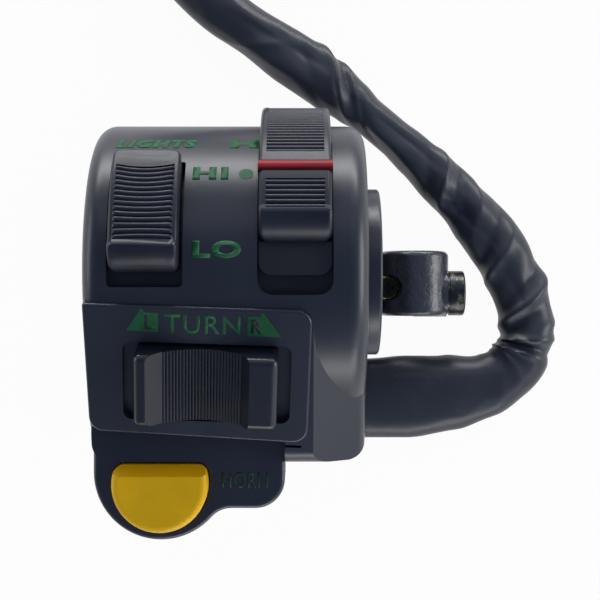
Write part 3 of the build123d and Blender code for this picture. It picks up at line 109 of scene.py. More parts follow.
WIRE_ROUTES = {
    "battery": [(47.8, 114.4, -23.6), (62.0, 104.8, -23.6), (78.68, 95.06, -25.5), (89.33, 87.6, -25.5)],
    "lamp_high": [(48.8, 116.5, -23.6), (63.6, 108.0, -23.6), (81.55, 99.16, -25.5), (92.2, 91.7, -25.5)],
    "lamp_low": [(49.8, 118.6, -23.6), (65.1, 111.1, -23.6), (84.42, 103.26, -25.5), (95.07, 95.8, -25.5)],
    "turn_left": [(47.8, 114.4, -21.4), (63.1, 107.0, -21.4), (78.68, 95.06, -21.5), (89.33, 87.6, -21.5)],
    "turn_right": [(48.8, 116.5, -21.4), (64.6, 110.1, -21.4), (81.55, 99.16, -21.5), (92.2, 91.7, -21.5)],
    "horn": [(49.8, 118.6, -21.4), (66.1, 113.3, -21.4), (84.42, 103.26, -21.5), (95.07, 95.8, -21.5)],
}
WIRE_COLOURS = {
    "battery": (0.42, 0.012, 0.010),
    "lamp_high": (0.018, 0.045, 0.30),
    "lamp_low": (0.62, 0.62, 0.58),
    "turn_left": (0.58, 0.16, 0.010),
    "turn_right": (0.13, 0.36, 0.50),
    "horn": (0.03, 0.24, 0.045),
}
# Corners on the turn panel, from its centre
ARROW_LEFT = [(-14.1, 9.6), (-8.55, 9.45), (-8.54, 13.0), (-10.95, 13.05), (-11.45, 13.8)]
ARROW_RIGHT = [(7.0, 9.3), (12.85, 9.2), (9.57, 13.65), (9.1, 12.9), (6.98, 12.9)]
INK_DEPTH = 1.5  # depth of a legend, as a share of its rise
DRUM_STRIP = 0.55  # height of the strips that bend a legend over the drum
# How far the ends of the dimmer's ribs rise: angle about the bar, rise in degrees
RIB_SWING = [(7.6, 0.0), (10.5, -0.35), (18, 0.5), (33.5, 1.3), (41, 0.0)]
RIB_HALF_WIDTH = 5.1
RIB_CUTS = 8  # on each side of the middle
# Radius about the bar, share of the rise: the knob's foot stays as it is
RIB_DEPTH = [(DRUM_RADIUS + 1.6, 0.0), (DRUM_RADIUS + 2.6, 1.0)]


# Settings

COLOUR = {"subtype": "COLOR", "size": 3, "min": 0, "max": 1}


class CasingSettings(bpy.types.PropertyGroup):
    black: FloatVectorProperty(
        name="Casing black",
        description="Colour of the moulded casing",
        default=(0.0134, 0.0166, 0.0284),
        **COLOUR,
    )
    roughness: FloatProperty(
        name="Casing roughness",
        description="Satin of the moulded casing",
        subtype="FACTOR",
        min=0,
        max=1,
        default=0.34,
    )
    grain: FloatProperty(
        name="Grain size",
        description="Size of the fine grain left by the mould",
        subtype="DISTANCE",
        unit="LENGTH",
        min=0.00005,
        max=0.002,
        default=0.00035,
    )


class LegendSettings(bpy.types.PropertyGroup):
    green: FloatVectorProperty(
        name="Legend green",
        description="Colour of the printed legends",
        default=(0.018, 0.112, 0.043),
        **COLOUR,
    )
    faded: FloatVectorProperty(
        name="Faded green",
        description="Colour of the legend on the horn plate, which is printed thin",
        default=(0.012, 0.036, 0.026),
        **COLOUR,
    )
    ink: FloatProperty(
        name="Ink thickness",
        description="Thickness of the printed ink",
        subtype="DISTANCE",
        unit="LENGTH",
        min=0.00001,
        max=0.0002,
        default=0.00004,
    )


class SwitchSettings(bpy.types.PropertyGroup):
    knob: FloatVectorProperty(
        name="Knob black",
        description="Colour of the thumb knobs",
        default=(0.0100, 0.0126, 0.0225),
        **COLOUR,
    )
    index: FloatVectorProperty(
        name="Index red",
        description="Colour of the bar set in the lights lever",
        default=(0.25, 0.009, 0.018),
        **COLOUR,
    )
    button: FloatVectorProperty(
        name="Button yellow",
        description="Colour of the horn button",
        default=(0.80, 0.450, 0.001),
        **COLOUR,
    )


class HarnessSettings(bpy.types.PropertyGroup):
    vinyl: FloatVectorProperty(
        name="Sleeve black",
        description="Colour of the vinyl sleeve",
        default=(0.0240, 0.0278, 0.0385),
        **COLOUR,
    )
    crease: FloatProperty(
        name="Crease height",
        description="How far the sleeve's creases stand out",
        subtype="DISTANCE",
        unit="LENGTH",
        min=0,
        max=0.002,
        default=CREASE_HEIGHT,
    )
    rings: IntProperty(
        name="Rings", description="Rings of faces along the sleeve", min=100, max=900, default=560
    )
    sides: IntProperty(name="Sides", description="Faces around the sleeve", min=24, max=120, default=72)


class StudioSettings(bpy.types.PropertyGroup):
    lens: FloatProperty(
        name="Lens",
        description="Focal length on a 36 mm sensor, in millimetres",
        min=20,
        max=200,
        default=77.3,
    )
    height: FloatProperty(
        name="Camera height",
        description="Camera's height above the bar's axis",
        subtype="DISTANCE",
        unit="LENGTH",
        min=0.1,
        max=2,
        default=0.25,
    )
    key: FloatProperty(
        name="Key light", description="Power of the large light", min=0, max=40, default=6.0
    )
    side: FloatProperty(
        name="Side lights", description="Power of the smaller lights", min=0, max=40, default=1.6
    )
    sky: FloatProperty(
        name="Surrounding light", description="Strength of the pale tent", min=0, max=2, default=0.36
    )


# Shader maths


class Level:
    """A shader number. Python maths on it adds Math nodes."""

    def __init__(self, nodes, socket):
        self.nodes = nodes
        self.socket = socket

    def _sum(self, operation, *values):
        return self.nodes.add("ShaderNodeMath", {"operation": operation}, dict(enumerate(values)))

    def __add__(self, other):
        return self._sum("ADD", self, other)

    def __radd__(self, other):
        return self._sum("ADD", other, self)

    def __sub__(self, other):
        return self._sum("SUBTRACT", self, other)

    def __rsub__(self, other):
        return self._sum("SUBTRACT", other, self)

    def __mul__(self, other):
        return self._sum("MULTIPLY", self, other)

    def __rmul__(self, other):
        return self._sum("MULTIPLY", other, self)

    def at_least(self, other):
        return self._sum("MAXIMUM", self, other)

    def at_most(self, other):
        return self._sum("MINIMUM", self, other)

    def root(self):
        return self._sum("SQRT", self)

    def size(self):
        return self._sum("ABSOLUTE", self)

    def ramp(self, low, high):
        """0 below low, 1 above high, and smooth between."""
        inputs = {"Value": self, "From Min": low, "From Max": high}
        return self.nodes.add("ShaderNodeMapRange", {"interpolation_type": "SMOOTHSTEP"}, inputs)


class Nodes:
    """The nodes of a material or of the world."""

    def __init__(self, tree):
        self.tree = tree

    def feed(self, socket, value):
        """Links a shader value to a socket, or sets a plain one."""
        if isinstance(value, Level):
            self.tree.links.new(value.socket, socket)
        elif isinstance(value, (tuple, list)) and socket.type == "RGBA":
            socket.default_value = (*value, 1) if len(value) == 3 else value
        else:
            socket.default_value = value

    def add(self, kind, settings=(), inputs=(), output=0):
        """Adds a node: its settings first, then the values and links of its sockets."""
        node = self.tree.nodes.new(kind)
        for name, value in dict(settings).items():
            setattr(node, name, value)
        for key, value in dict(inputs).items():
            self.feed(node.inputs[key], value)
        return Level(self, node.outputs[output])

    def split(self, where):
        """The three numbers of a place."""
        node = self.tree.nodes.new("ShaderNodeSeparateXYZ")
        self.feed(node.inputs[0], where)
        return [Level(self, socket) for socket in node.outputs]

    def blend(self, factor, first, second):
        """Mixes two colours."""
        return self.add("ShaderNodeMix", {"data_type": "RGBA"}, {0: factor, 6: first, 7: second}, output=2)


class Finish(Nodes):
    """One procedural finish: a material, its shader and the nodes that vary it. The colour and roughness
    that it starts from are for a viewer that reads no nodes."""

    def __init__(self, name, colour, roughness, **sockets):
        self.material = bpy.data.materials.new(name)
        self.material.use_nodes = True
        super().__init__(self.material.node_tree)
        self.shader = self.tree.nodes["Principled BSDF"]
        self.set("Base Color", colour)
        self.set("Roughness", roughness)
        for socket, value in sockets.items():
            self.set(socket.replace("_", " "), value)
        self.material.diffuse_color = (*colour, 1)

    def set(self, socket, value):
        self.feed(self.shader.inputs[socket], value)

    def place(self, stretch=(1, 1, 1)):
        """Object coordinates, times a number each way."""
        where = self.add("ShaderNodeTexCoord", output="Object")
        return self.add("ShaderNodeMapping", {}, {"Vector": where, "Scale": stretch})

    def clouds(self, size, detail=3.0, where=None, harsh=0.5, warp=0.0):
        """Cloudy noise with features of a size in metres, from 0 to 1."""
        inputs = {"Scale": 1 / size, "Detail": detail, "Roughness": harsh, "Distortion": warp}
        return self.add("ShaderNodeTexNoise", {}, {"Vector": where or self.place(), **inputs})

    def cells(self, size):
        """Distance from the middles of cells of a size in metres."""
        return self.add("ShaderNodeTexVoronoi", {}, {"Vector": self.place(), "Scale": 1 / size})

    def shades(self, factor, colour, low, high):
        """Goes from one shade of a colour to another."""
        return self.blend(factor, shade(colour, low), shade(colour, high))

    def done(self, colour, roughness, height, distance):
        """Feeds the shader and gives the material. Its surface is raised by a height from 0 to 1, times a
        distance in metres."""
        inputs = {"Height": height, "Distance": distance, "Strength": 1.0}
        self.set("Base Color", colour)
        self.set("Roughness", roughness)
        self.set("Normal", self.add("ShaderNodeBump", {}, inputs))
        return self.material

    def axes(self):
        """Object coordinates as three numbers: along the bar, up the switch and out of its front."""
        return self.split(self.place())


def shade(colour, factor):
    """A colour made lighter or darker."""
    return tuple(min(1.0, channel * factor) for channel in colour)


# Finishes


def moulded_black(name, colour, roughness, grain, relief=0.000006):
    """Black plastic from the mould: fine grain, faint flow marks and a few polished patches."""
    finish = Finish(name, colour, roughness, Specular_IOR_Level=0.5)
    fine = finish.clouds(grain, detail=4, harsh=0.6)
    flow = finish.clouds(0.018, detail=4, where=finish.place(stretch=(1, 0.45, 0.45)), warp=0.6)
    scuff = finish.clouds(0.0045, detail=6, harsh=0.65).ramp(0.56, 0.74)
    specks = finish.cells(0.0019).ramp(0.10, 0.03)
    colours = finish.shades(flow.ramp(0.3, 0.8), colour, 0.86, 1.22)
    satin = (roughness + 0.09 * (flow - 0.5) - 0.04 * scuff + 0.04 * (fine - 0.5)).at_least(0.12)
    return finish.done(colours, satin, fine * 0.8 + specks * 0.12 + flow * 0.6, relief)


def knob_black(name, colour):
    """Knob plastic, polished by the thumb on its crests."""
    finish = Finish(name, colour, 0.36, Specular_IOR_Level=0.36)
    fine = finish.clouds(0.0003, detail=4, harsh=0.6)
    rubbed = finish.clouds(0.005, detail=5, harsh=0.6)
    _, up, out = finish.axes()
    crest = (up * up + out * out).root().ramp(0.0310, 0.0316)
    colours = finish.shades(rubbed.ramp(0.35, 0.7), colour, 0.85, 1.3)
    satin = (0.4 - 0.10 * crest * rubbed + 0.07 * (fine - 0.5)).at_least(0.15)
    return finish.done(colours, satin, fine * 0.6 + rubbed * 0.4, 0.000006)


def printed_green(name, colour):
    """Printed ink, a little uneven, with pinholes."""
    finish = Finish(name, colour, 0.45, Specular_IOR_Level=0.2)
    patch = finish.clouds(0.0016, detail=4, harsh=0.6)
    pinholes = finish.clouds(0.00022, detail=2).ramp(0.72, 0.84)
    body = finish.shades(patch.ramp(0.3, 0.75), colour, 0.78, 1.15)
    colours = finish.blend(pinholes, body, shade(colour, 0.45))
    satin = 0.42 + 0.12 * patch
    return finish.done(colours, satin, patch, 0.00001)


def glowing_red(name, colour):
    """Clear red acrylic bar, with painted shade towards its edges on either side of its middle."""
    finish = Finish(
        name, colour, 0.3, Specular_IOR_Level=0.2, Subsurface_Weight=0.1, Subsurface_Scale=0.0006
    )
    depth = finish.clouds(0.002, detail=3, where=finish.place(stretch=(0.3, 1, 1)))
    body = finish.shades(depth.ramp(0.3, 0.7), colour, 0.8, 1.1)
    _, up, out = finish.axes()
    middle = math.radians(INDEX_ANGLE)
    # Painted shade: the bar darkens towards its edges on either side of its middle
    painted_light_edge = (up * math.cos(middle) - out * math.sin(middle)).size().ramp(0.00055, 0.0010)
    colours = finish.blend(painted_light_edge, body, shade(colour, 0.22))
    satin = 0.3 + 0.12 * finish.clouds(0.0006, detail=3)
    return finish.done(colours, satin, depth, 0.00002)


def moulded_yellow(name, colour):
    """Yellow button plastic, satin, with painted shade on its top band towards the panel, and specks of
    grime.
    """
    finish = Finish(
        name, colour, 0.42, Specular_IOR_Level=0.25, Subsurface_Weight=0.06, Subsurface_Scale=0.001
    )
    fine = finish.clouds(0.00028, detail=4, harsh=0.6)
    tone = finish.clouds(0.007, detail=3)
    grime = finish.clouds(0.0014, detail=6, harsh=0.7).ramp(0.66, 0.82)
    body = finish.shades(tone.ramp(0.25, 0.75), colour, 0.92, 1.06)
    _, up, _ = finish.axes()
    # Painted shade: the top band, under the panel, is darkened towards orange
    painted_shade_top = (up + 0.1 * tone * MM).ramp(-0.0378, -0.0352)
    body = finish.blend(painted_shade_top * 0.7, body, (colour[0] * 0.80, colour[1] * 0.62, colour[2]))
    colours = finish.blend(grime * 0.25, body, shade(colour, 0.45))
    satin = 0.40 + 0.1 * (fine - 0.5) + 0.08 * tone
    return finish.done(colours, satin, fine * 0.7 + tone * 0.5, 0.000008)


def gloss_enamel(name):
    """Thick black enamel over a rough casting, with chips whose brassy colour is a painted glint."""
    black = (0.025, 0.029, 0.039)
    finish = Finish(name, black, 0.2, Coat_Weight=0.2, Coat_Roughness=0.15, Specular_IOR_Level=0.5)
    lumps = finish.clouds(0.0026, detail=4, harsh=0.55, warp=0.4)
    peel = finish.clouds(0.0007, detail=3)
    # Chips in the enamel, coloured brassy as painted glints
    chips_and_glints = finish.clouds(0.0015, detail=6, harsh=0.7).ramp(0.69, 0.74)
    finish.set("Metallic", chips_and_glints * 0.8)
    colours = finish.blend(chips_and_glints, black, (0.42, 0.34, 0.15))
    satin = 0.24 + 0.2 * peel + 0.15 * chips_and_glints
    return finish.done(colours, satin, lumps + peel * 0.12 - chips_and_glints * 0.2, 0.00032)


def plated(name, colour, roughness, stain_and_glint):
    """Plated metal, faintly brushed, with stains; the brassy patches on the dark plate are painted glints.
    """
    finish = Finish(name, colour, roughness, Metallic=1.0)
    brushed = finish.clouds(0.0012, detail=5, where=finish.place(stretch=(1, 8, 1)))
    patch = finish.clouds(0.0022, detail=5, harsh=0.65)
    colours = finish.blend(patch.ramp(0.5, 0.75), colour, stain_and_glint)
    satin = (roughness + 0.16 * (patch - 0.4) + 0.08 * (brushed - 0.5)).at_least(0.08)
    return finish.done(colours, satin, brushed * 0.6 + patch, 0.000012)


def rimmed_screw(name, low, high):
    """Black screw head with a painted brassy glint round its rim, in patches."""
    black = (0.03, 0.027, 0.02)
    finish = Finish(name, black, 0.36, Metallic=1.0)
    along, up, _ = finish.axes()
    along = along - (low[0] + high[0]) / 2
    up = up - (low[1] + high[1]) / 2
    painted_light_edge = (along * along + up * up).root().ramp(0.0019, 0.0023)
    patch = finish.clouds(0.0016, detail=5, harsh=0.65)
    # Painted glint: a brassy ring round the rim, broken into patches
    painted_rim_glint = (painted_light_edge * patch.ramp(0.35, 0.6)).at_most(1.0)
    colours = finish.blend(painted_rim_glint, black, (0.50, 0.40, 0.17))
    satin = 0.32 + 0.2 * patch
    return finish.done(colours, satin, patch, 0.00001)


def laminate(name):
    """Brown paper laminate of the contact bases."""
    finish = Finish(name, (0.15, 0.065, 0.024), 0.5)
    fibre = finish.clouds(0.0011, detail=6, where=finish.place(stretch=(1, 5, 1)), harsh=0.7)
    fleck = finish.cells(0.0009).ramp(0.2, 0.05)
    body = finish.blend(fibre.ramp(0.3, 0.7), (0.11, 0.045, 0.016), (0.21, 0.10, 0.04))
    colours = finish.blend(fleck * 0.5, body, (0.05, 0.02, 0.01))
    satin = 0.45 + 0.15 * fibre
    return finish.done(colours, satin, fibre, 0.00001)


def soft_rubber(name):
    """Dull black rubber with bloom."""
    finish = Finish(name, (0.014, 0.014, 0.015), 0.7)
    bloom = finish.clouds(0.004, detail=5, harsh=0.6)
    fine = finish.clouds(0.0003, detail=3)
    colours = finish.blend(bloom.ramp(0.4, 0.8), (0.012, 0.012, 0.013), (0.034, 0.034, 0.036))
    satin = 0.62 + 0.15 * bloom
    return finish.done(colours, satin, fine + bloom, 0.00002)


def creased_vinyl(name, colour):
    """Thin black vinyl: soft sheen, fine creases and dust."""
    finish = Finish(name, colour, 0.4, Specular_IOR_Level=0.5, IOR=1.42)
    crease = finish.add(
        "ShaderNodeTexNoise",
        {"noise_type": "RIDGED_MULTIFRACTAL"},
        {"Vector": finish.place(stretch=(1, 1, 0.7)), "Scale": 150.0, "Detail": 3.0, "Roughness": 0.5},
    )
    fine = finish.clouds(0.0005, detail=4, harsh=0.6)
    dust = finish.clouds(0.006, detail=6, harsh=0.7).ramp(0.55, 0.8)
    colours = finish.blend(dust * 0.5, colour, shade(colour, 2.2))
    satin = (0.37 + 0.12 * (fine - 0.5) + 0.10 * dust).at_least(0.15)
    return finish.done(colours, satin, crease * 0.5 + fine * 0.08, 0.00007)


def wire_plastic(name, colour):
    """Soft PVC of a wire."""
    finish = Finish(name, colour, 0.38)
    tone = finish.clouds(0.006, detail=3)
    fine = finish.clouds(0.0006, detail=3)
    colours = finish.shades(tone.ramp(0.3, 0.75), colour, 0.85, 1.1)
    satin = 0.34 + 0.1 * fine
    return finish.done(colours, satin, fine, 0.000015)


def milky_nylon(name):
    """Unpainted nylon of the connector."""
    finish = Finish(name, (0.62, 0.6, 0.54), 0.42, Subsurface_Weight=0.25, Subsurface_Scale=0.0015)
    tone = finish.clouds(0.005, detail=4)
    fine = finish.clouds(0.0005, detail=3)
    colours = finish.blend(tone.ramp(0.3, 0.75), (0.56, 0.535, 0.47), (0.68, 0.66, 0.6))
    satin = 0.38 + 0.12 * fine
    return finish.done(colours, satin, fine * 0.5 + tone, 0.00001)


def cover(piece, material):
    """Gives a piece its one finish."""
    piece.data.materials.clear()
    piece.data.materials.append(material)


def wear(material, *names):
    """Gives CAD nodes a finish."""
    for name in names:
        cover(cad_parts[name], material)


# Places on the switch


def drum_point(across, angle, radius):
    """Point of the drum at a radius, in metres. The angle runs about the bar, from the front to the top."""
    turn = math.radians(angle)
    return Vector((across, radius * math.sin(turn), radius * math.cos(turn))) * MM


def panel_matrix():
    """From the turn panel's own millimetres to the object's metres."""
    tilt = math.radians(PANEL_TILT)
    roll = math.radians(PANEL_ROLL)
    normal = Vector((0, -math.sin(tilt), math.cos(tilt)))
    up = Vector((0, math.cos(tilt), math.sin(tilt)))
    across = Vector((math.cos(roll), 0, 0)) + up * math.sin(roll)
    across.normalize()
    rise = normal.cross(across)
    centre = Vector((PANEL_CENTRE_X, 0, 0)) + normal * PANEL_SURFACE - up * PANEL_CENTRE_DOWN
    turned = Matrix((across, rise, normal)).transposed().to_4x4()
    return Matrix.Scale(MM, 4) @ Matrix.Translation(centre) @ turned


def plate_matrix():
    """From the horn plate's own millimetres to the object's metres."""
    return Matrix.Scale(MM, 4) @ Matrix.Translation((0, 0, PLATE_FRONT))


# Pieces


def clear_selection():
    """Deselects everything, in object mode."""
    if bpy.context.object and bpy.context.object.mode != "OBJECT":
        bpy.ops.object.mode_set(mode="OBJECT")
    bpy.ops.object.select_all(action="DESELECT")


def new_piece(name, data):
    """A new object of the scene."""
    piece = bpy.data.objects.new(name, data)
    bpy.context.scene.collection.objects.link(piece)
    return piece


def pick(piece):
    """Selects one piece alone and makes it the active one."""
    clear_selection()
    piece.select_set(True)
    bpy.context.view_layer.objects.active = piece


# Legends, drawn flat in millimetres and then laid on the casing


def flat_word(name, word, width, height, lean=0.0, weight=0.0, spacing=1.0):
    """A word as a flat mesh, centred on the origin, in millimetres."""
    clear_selection()
    bpy.ops.object.text_add(location=(0, 0, 0))
    text = bpy.context.object
    text.name = name
    text.data.body = word
    text.data.align_x = "CENTER"
    text.data.align_y = "CENTER"
    text.data.shear = lean
    text.data.offset = weight
    text.data.space_character = spacing
    text.data.resolution_u = 5
    bpy.ops.object.convert(target="MESH")
    flat = bpy.context.object
    low = Vector([min(corner[i] for corner in flat.bound_box) for i in range(3)])
    high = Vector([max(corner[i] for corner in flat.bound_box) for i in range(3)])
    wide = high.x - low.x
    tall = high.y - low.y
    flat.location = (-(low.x + high.x) / 2 * width / wide, -(low.y + high.y) / 2 * height / tall, 0)
    flat.scale = (width / wide, height / tall, 1)
    bpy.ops.object.transform_apply(location=True, rotation=True, scale=True)
    return flat


def flat_shape(name, outline):
    """A flat face from its corners, in millimetres."""
    clear_selection()
    bpy.ops.mesh.primitive_circle_add(vertices=len(outline), radius=1, fill_type="NGON", location=(0, 0, 0))
    flat = bpy.context.object
    flat.name = name
    for vertex, (x, y) in zip(flat.data.vertices, outline):
        vertex.co = (x, y, 0)
    return flat


def cut_in_strips(flat, step):
    """Cuts a flat mesh across at even heights, so that it can bend over the drum."""
    low = min(vertex.co.y for vertex in flat.data.vertices)
    high = max(vertex.co.y for vertex in flat.data.vertices)
    pick(flat)
    bpy.ops.object.mode_set(mode="EDIT")
    for i in range(1, int((high - low) / step) + 1):
        bpy.ops.mesh.select_all(action="SELECT")
        bpy.ops.mesh.bisect(plane_co=(0, low + i * step, 0), plane_no=(0, 1, 0))
    bpy.ops.object.mode_set(mode="OBJECT")


def ink(flat, thickness):
    """Gives a laid legend its thickness, on the inner side of its face."""
    pick(flat)
    bpy.ops.object.modifier_add(type="SOLIDIFY")
    flat.modifiers[-1].thickness = thickness
    flat.modifiers[-1].offset = -1
    bpy.ops.object.modifier_apply(modifier=flat.modifiers[-1].name)


def lay_on_drum(flat, across, angle, rise):
    """Wraps a flat legend on the drum, centred at a place."""
    cut_in_strips(flat, DRUM_STRIP)
    for vertex in flat.data.vertices:
        x, y, _ = vertex.co
        turn = angle + math.degrees(y / DRUM_RADIUS)
        vertex.co = drum_point(across + x, turn, DRUM_RADIUS + rise / MM)
    flat.data.update()


def lay_flat(flat, matrix, across, up, rise):
    """Lays a flat legend on a flat face."""
    flat.data.transform(matrix @ Matrix.Translation((across, up, rise / MM)))
    flat.data.update()


def face_out(flat, outward):
    """Turns a flat legend over if it faces into the casing."""
    total = Vector()
    for face in flat.data.polygons:
        total += face.normal * face.area
    if total.dot(outward) < 0:
        flat.data.flip_normals()


# Cords


def cord_line(name, route, resolution):
    """The NURBS line that a cord's route points control."""
    line = bpy.data.curves.new(name, "CURVE")
    line.dimensions = "3D"
    spline = line.splines.new("NURBS")
    spline.points.add(len(route) - 1)
    for point, place in zip(spline.points, route):
        point.co = (*(Vector(place) * MM), 1)
    spline.use_endpoint_u = True
    spline.order_u = 3
    spline.resolution_u = resolution
    return line


def route_points(route):
    """Points of a cord's line, in metres."""
    line = cord_line("route", route, 40)
    holder = new_piece("route", line)
    mesh = bpy.data.meshes.new_from_object(holder)
    points = [vertex.co.copy() for vertex in mesh.vertices]
    bpy.data.meshes.remove(mesh)
    bpy.data.objects.remove(holder)
    bpy.data.curves.remove(line)
    return points


def evenly(points, count):
    """Points at even steps along a line, with their distances from its start."""
    reach = [0.0]
    for before, after in zip(points, points[1:]):
        reach.append(reach[-1] + (after - before).length)
    spaced = []
    step = 0
    for i in range(count):
        goal = reach[-1] * i / (count - 1)
        while step < len(points) - 2 and reach[step + 1] < goal:
            step += 1
        share = (goal - reach[step]) / (reach[step + 1] - reach[step])
        spaced.append((points[step].lerp(points[step + 1], min(1.0, max(0.0, share))), goal))
    return spaced


def between(table, place):
    """Value from a table of (place, value), smooth between its rows."""
    if place <= table[0][0]:
        return table[0][1]
    for (low, first), (high, second) in zip(table, table[1:]):
        if place <= high:
            share = (place - low) / (high - low)
            share = share * share * (3 - 2 * share)
            return first + (second - first) * share
    return table[-1][1]


# Half of the sleeve's width and of its thickness along it, in millimetres
SLEEVE_HALF_WIDTH = [
    (0, 8.3), (8, 8.6), (18, 8.0), (26, 6.6), (31, 5.7), (36, 5.9), (40, 5.2), (45, 5.6), (52, 5.9),
    (60, 6.0), (67, 5.9), (73, 5.0), (78, 5.2), (86, 4.4), (93, 4.0), (99, 4.0), (104, 4.8), (110, 5.6),
    (119, 5.7), (130, 5.0), (142, 5.4), (156, 5.8), (168, 5.0), (182, 5.7), (196, 5.2), (210, 5.9),
    (228, 5.1), (244, 5.7), (258, 5.2), (273, 5.5),
]
SLEEVE_HALF_THICKNESS = [
    (0, 4.6), (18, 4.7), (34, 4.9), (60, 5.0), (73, 4.6), (88, 5.0), (100, 4.8), (118, 5.1), (130, 4.7),
    (160, 5.0), (200, 4.9), (273, 5.2),
]
# Creases across the sleeve: distance along it, angle round it, slant in mm per radian, half width in mm,
# reach round it in radians, height
CROSS_CREASES = [
    (27, 1.0, 2.5, 2.0, 0.9, 0.5),
    (31.5, 3.0, 0.0, 3.5, 0.7, 1.6),
    (33.6, 2.2, 2.0, 1.5, 0.9, 1.0),
    (36.2, 1.8, -0.8, 1.0, 1.3, 1.9),
    (37.7, 1.1, 0.2, 0.9, 1.5, -2.0),
    (39.4, 1.4, -0.5, 1.0, 1.8, 2.2),
    (42.2, 0.6, -1.2, 1.5, 0.9, 1.5),
    (43.6, 1.9, -2.4, 1.6, 1.0, -1.3),
    (47.2, 1.5, -2.8, 1.4, 1.8, 2.0),
    (51.4, 1.2, -2.9, 2.4, 1.4, -1.5),
    (57.6, 2.0, -3.2, 1.6, 1.1, 1.9),
    (61.0, 2.2, -3.2, 1.8, 0.8, -1.1),
    (64.5, 0.9, -3.4, 2.6, 1.1, -1.2),
    (69.5, 1.3, -4.2, 2.0, 1.1, 1.3),
    (75.0, 1.2, -3.5, 2.0, 1.0, -1.6),
    (78.6, 1.5, -3.5, 1.3, 1.2, 1.7),
    (82.0, 1.8, -3.5, 2.0, 0.9, -0.9),
    (100.2, 1.9, -4.9, 1.6, 0.8, -0.9),
    (103.4, 1.45, -4.9, 1.1, 1.0, 1.6),
    (106.2, 1.1, -5.6, 1.5, 1.0, -1.9),
    (109.4, 1.25, -5.8, 1.3, 1.2, 2.1),
    (114.5, 1.7, -5.8, 2.6, 1.0, -1.0),
    (126, 1.9, 7.0, 1.8, 0.9, 0.6),
    (146, 1.0, -5.0, 1.5, 0.9, 0.8),
    (150, 2.2, 4.0, 1.3, 0.9, -0.8),
    (163, 1.6, 5.0, 1.5, 1.0, 0.8),
    (172, 1.2, -6.0, 1.6, 0.9, -0.8),
    (186, 2.0, 6.0, 1.6, 0.9, 0.8),
    (198, 1.2, -5.0, 1.4, 0.9, -0.8),
    (207, 1.7, 6.0, 1.4, 0.9, 0.8),
    (222, 1.4, -6.0, 1.7, 0.9, 0.8),
    (236, 2.0, 5.0, 1.4, 0.9, -0.7),
    (251, 1.3, -5.0, 1.6, 0.9, 0.7),
]
# Pleats along the sleeve: distance, angle, drift in radians per mm, half width in radians, reach in mm,
# height
LONG_PLEATS = [
    (9, 2.1, -0.004, 0.35, 16, 0.9),
    (12, 1.2, 0.010, 0.5, 14, -0.6),
    (55, 1.9, 0.03, 0.22, 8, -0.7),
    (70, 1.95, 0.03, 0.24, 8, -1.2),
    (84, 2.3, -0.012, 0.26, 8, 0.9),
    (90, 1.35, 0.014, 0.3, 9, -0.9),
    (93, 2.1, 0.012, 0.26, 9, 0.8),
    (120, 1.3, 0.02, 0.34, 10, -1.2),
    (121, 2.2, 0.014, 0.3, 12, 1.1),
    (132, 1.2, -0.012, 0.3, 10, 0.8),
    (158, 1.5, 0.012, 0.2, 14, -0.8),
    (179, 1.2, -0.012, 0.2, 13, 0.7),
    (192, 1.8, 0.014, 0.2, 13, -0.8),
    (214, 1.4, 0.012, 0.2, 14, 0.7),
    (230, 1.1, -0.014, 0.2, 14, -0.7),
    (245, 1.9, 0.012, 0.2, 13, 0.7),
    (262, 1.4, -0.012, 0.2, 10, -0.6),
]


def turned_by(angle, centre):
    """Shortest turn from one angle to another."""
    return (angle - centre + math.pi) % (2 * math.pi) - math.pi


def hump(off):
    """Height of a fold, 1 on its line and less on each side."""
    return math.exp(-(abs(off) ** 1.5))


def crease_height(along, angle):
    """How far the sleeve stands out at a place: creases and pleats given one by one, and noise."""
    total = 0.0
    for place, centre, slant, width, reach, height in CROSS_CREASES:
        if abs(along - place) > CREASE_WINDOW:
            continue
        turn = turned_by(angle, centre)
        off = (along - place - slant * turn) / width
        total += height * math.exp(-((turn / reach) ** 2)) * hump(off)
    for place, centre, drift, width, reach, height in LONG_PLEATS:
        if abs(along - place) > PLEAT_WINDOW * reach:
            continue
        off = turned_by(angle, centre + drift * (along - place)) / width
        total += height * math.exp(-(((along - place) / reach) ** 2)) * hump(off)
    sway = 0.4 * math.sin(angle + along * 0.03)
    spot = Vector((math.cos(angle) * 1.1, math.sin(angle) * 1.1, along * 0.085 + sway))
    ridges = noise.ridged_multi_fractal(spot, 0.9, 2.1, 3, 0.9, 2.0) - 1.0
    swell = noise.noise(spot * 0.8 + Vector((7, 3, 1)))
    return total + RIDGES_SHARE * ridges + SWELL_SHARE * swell


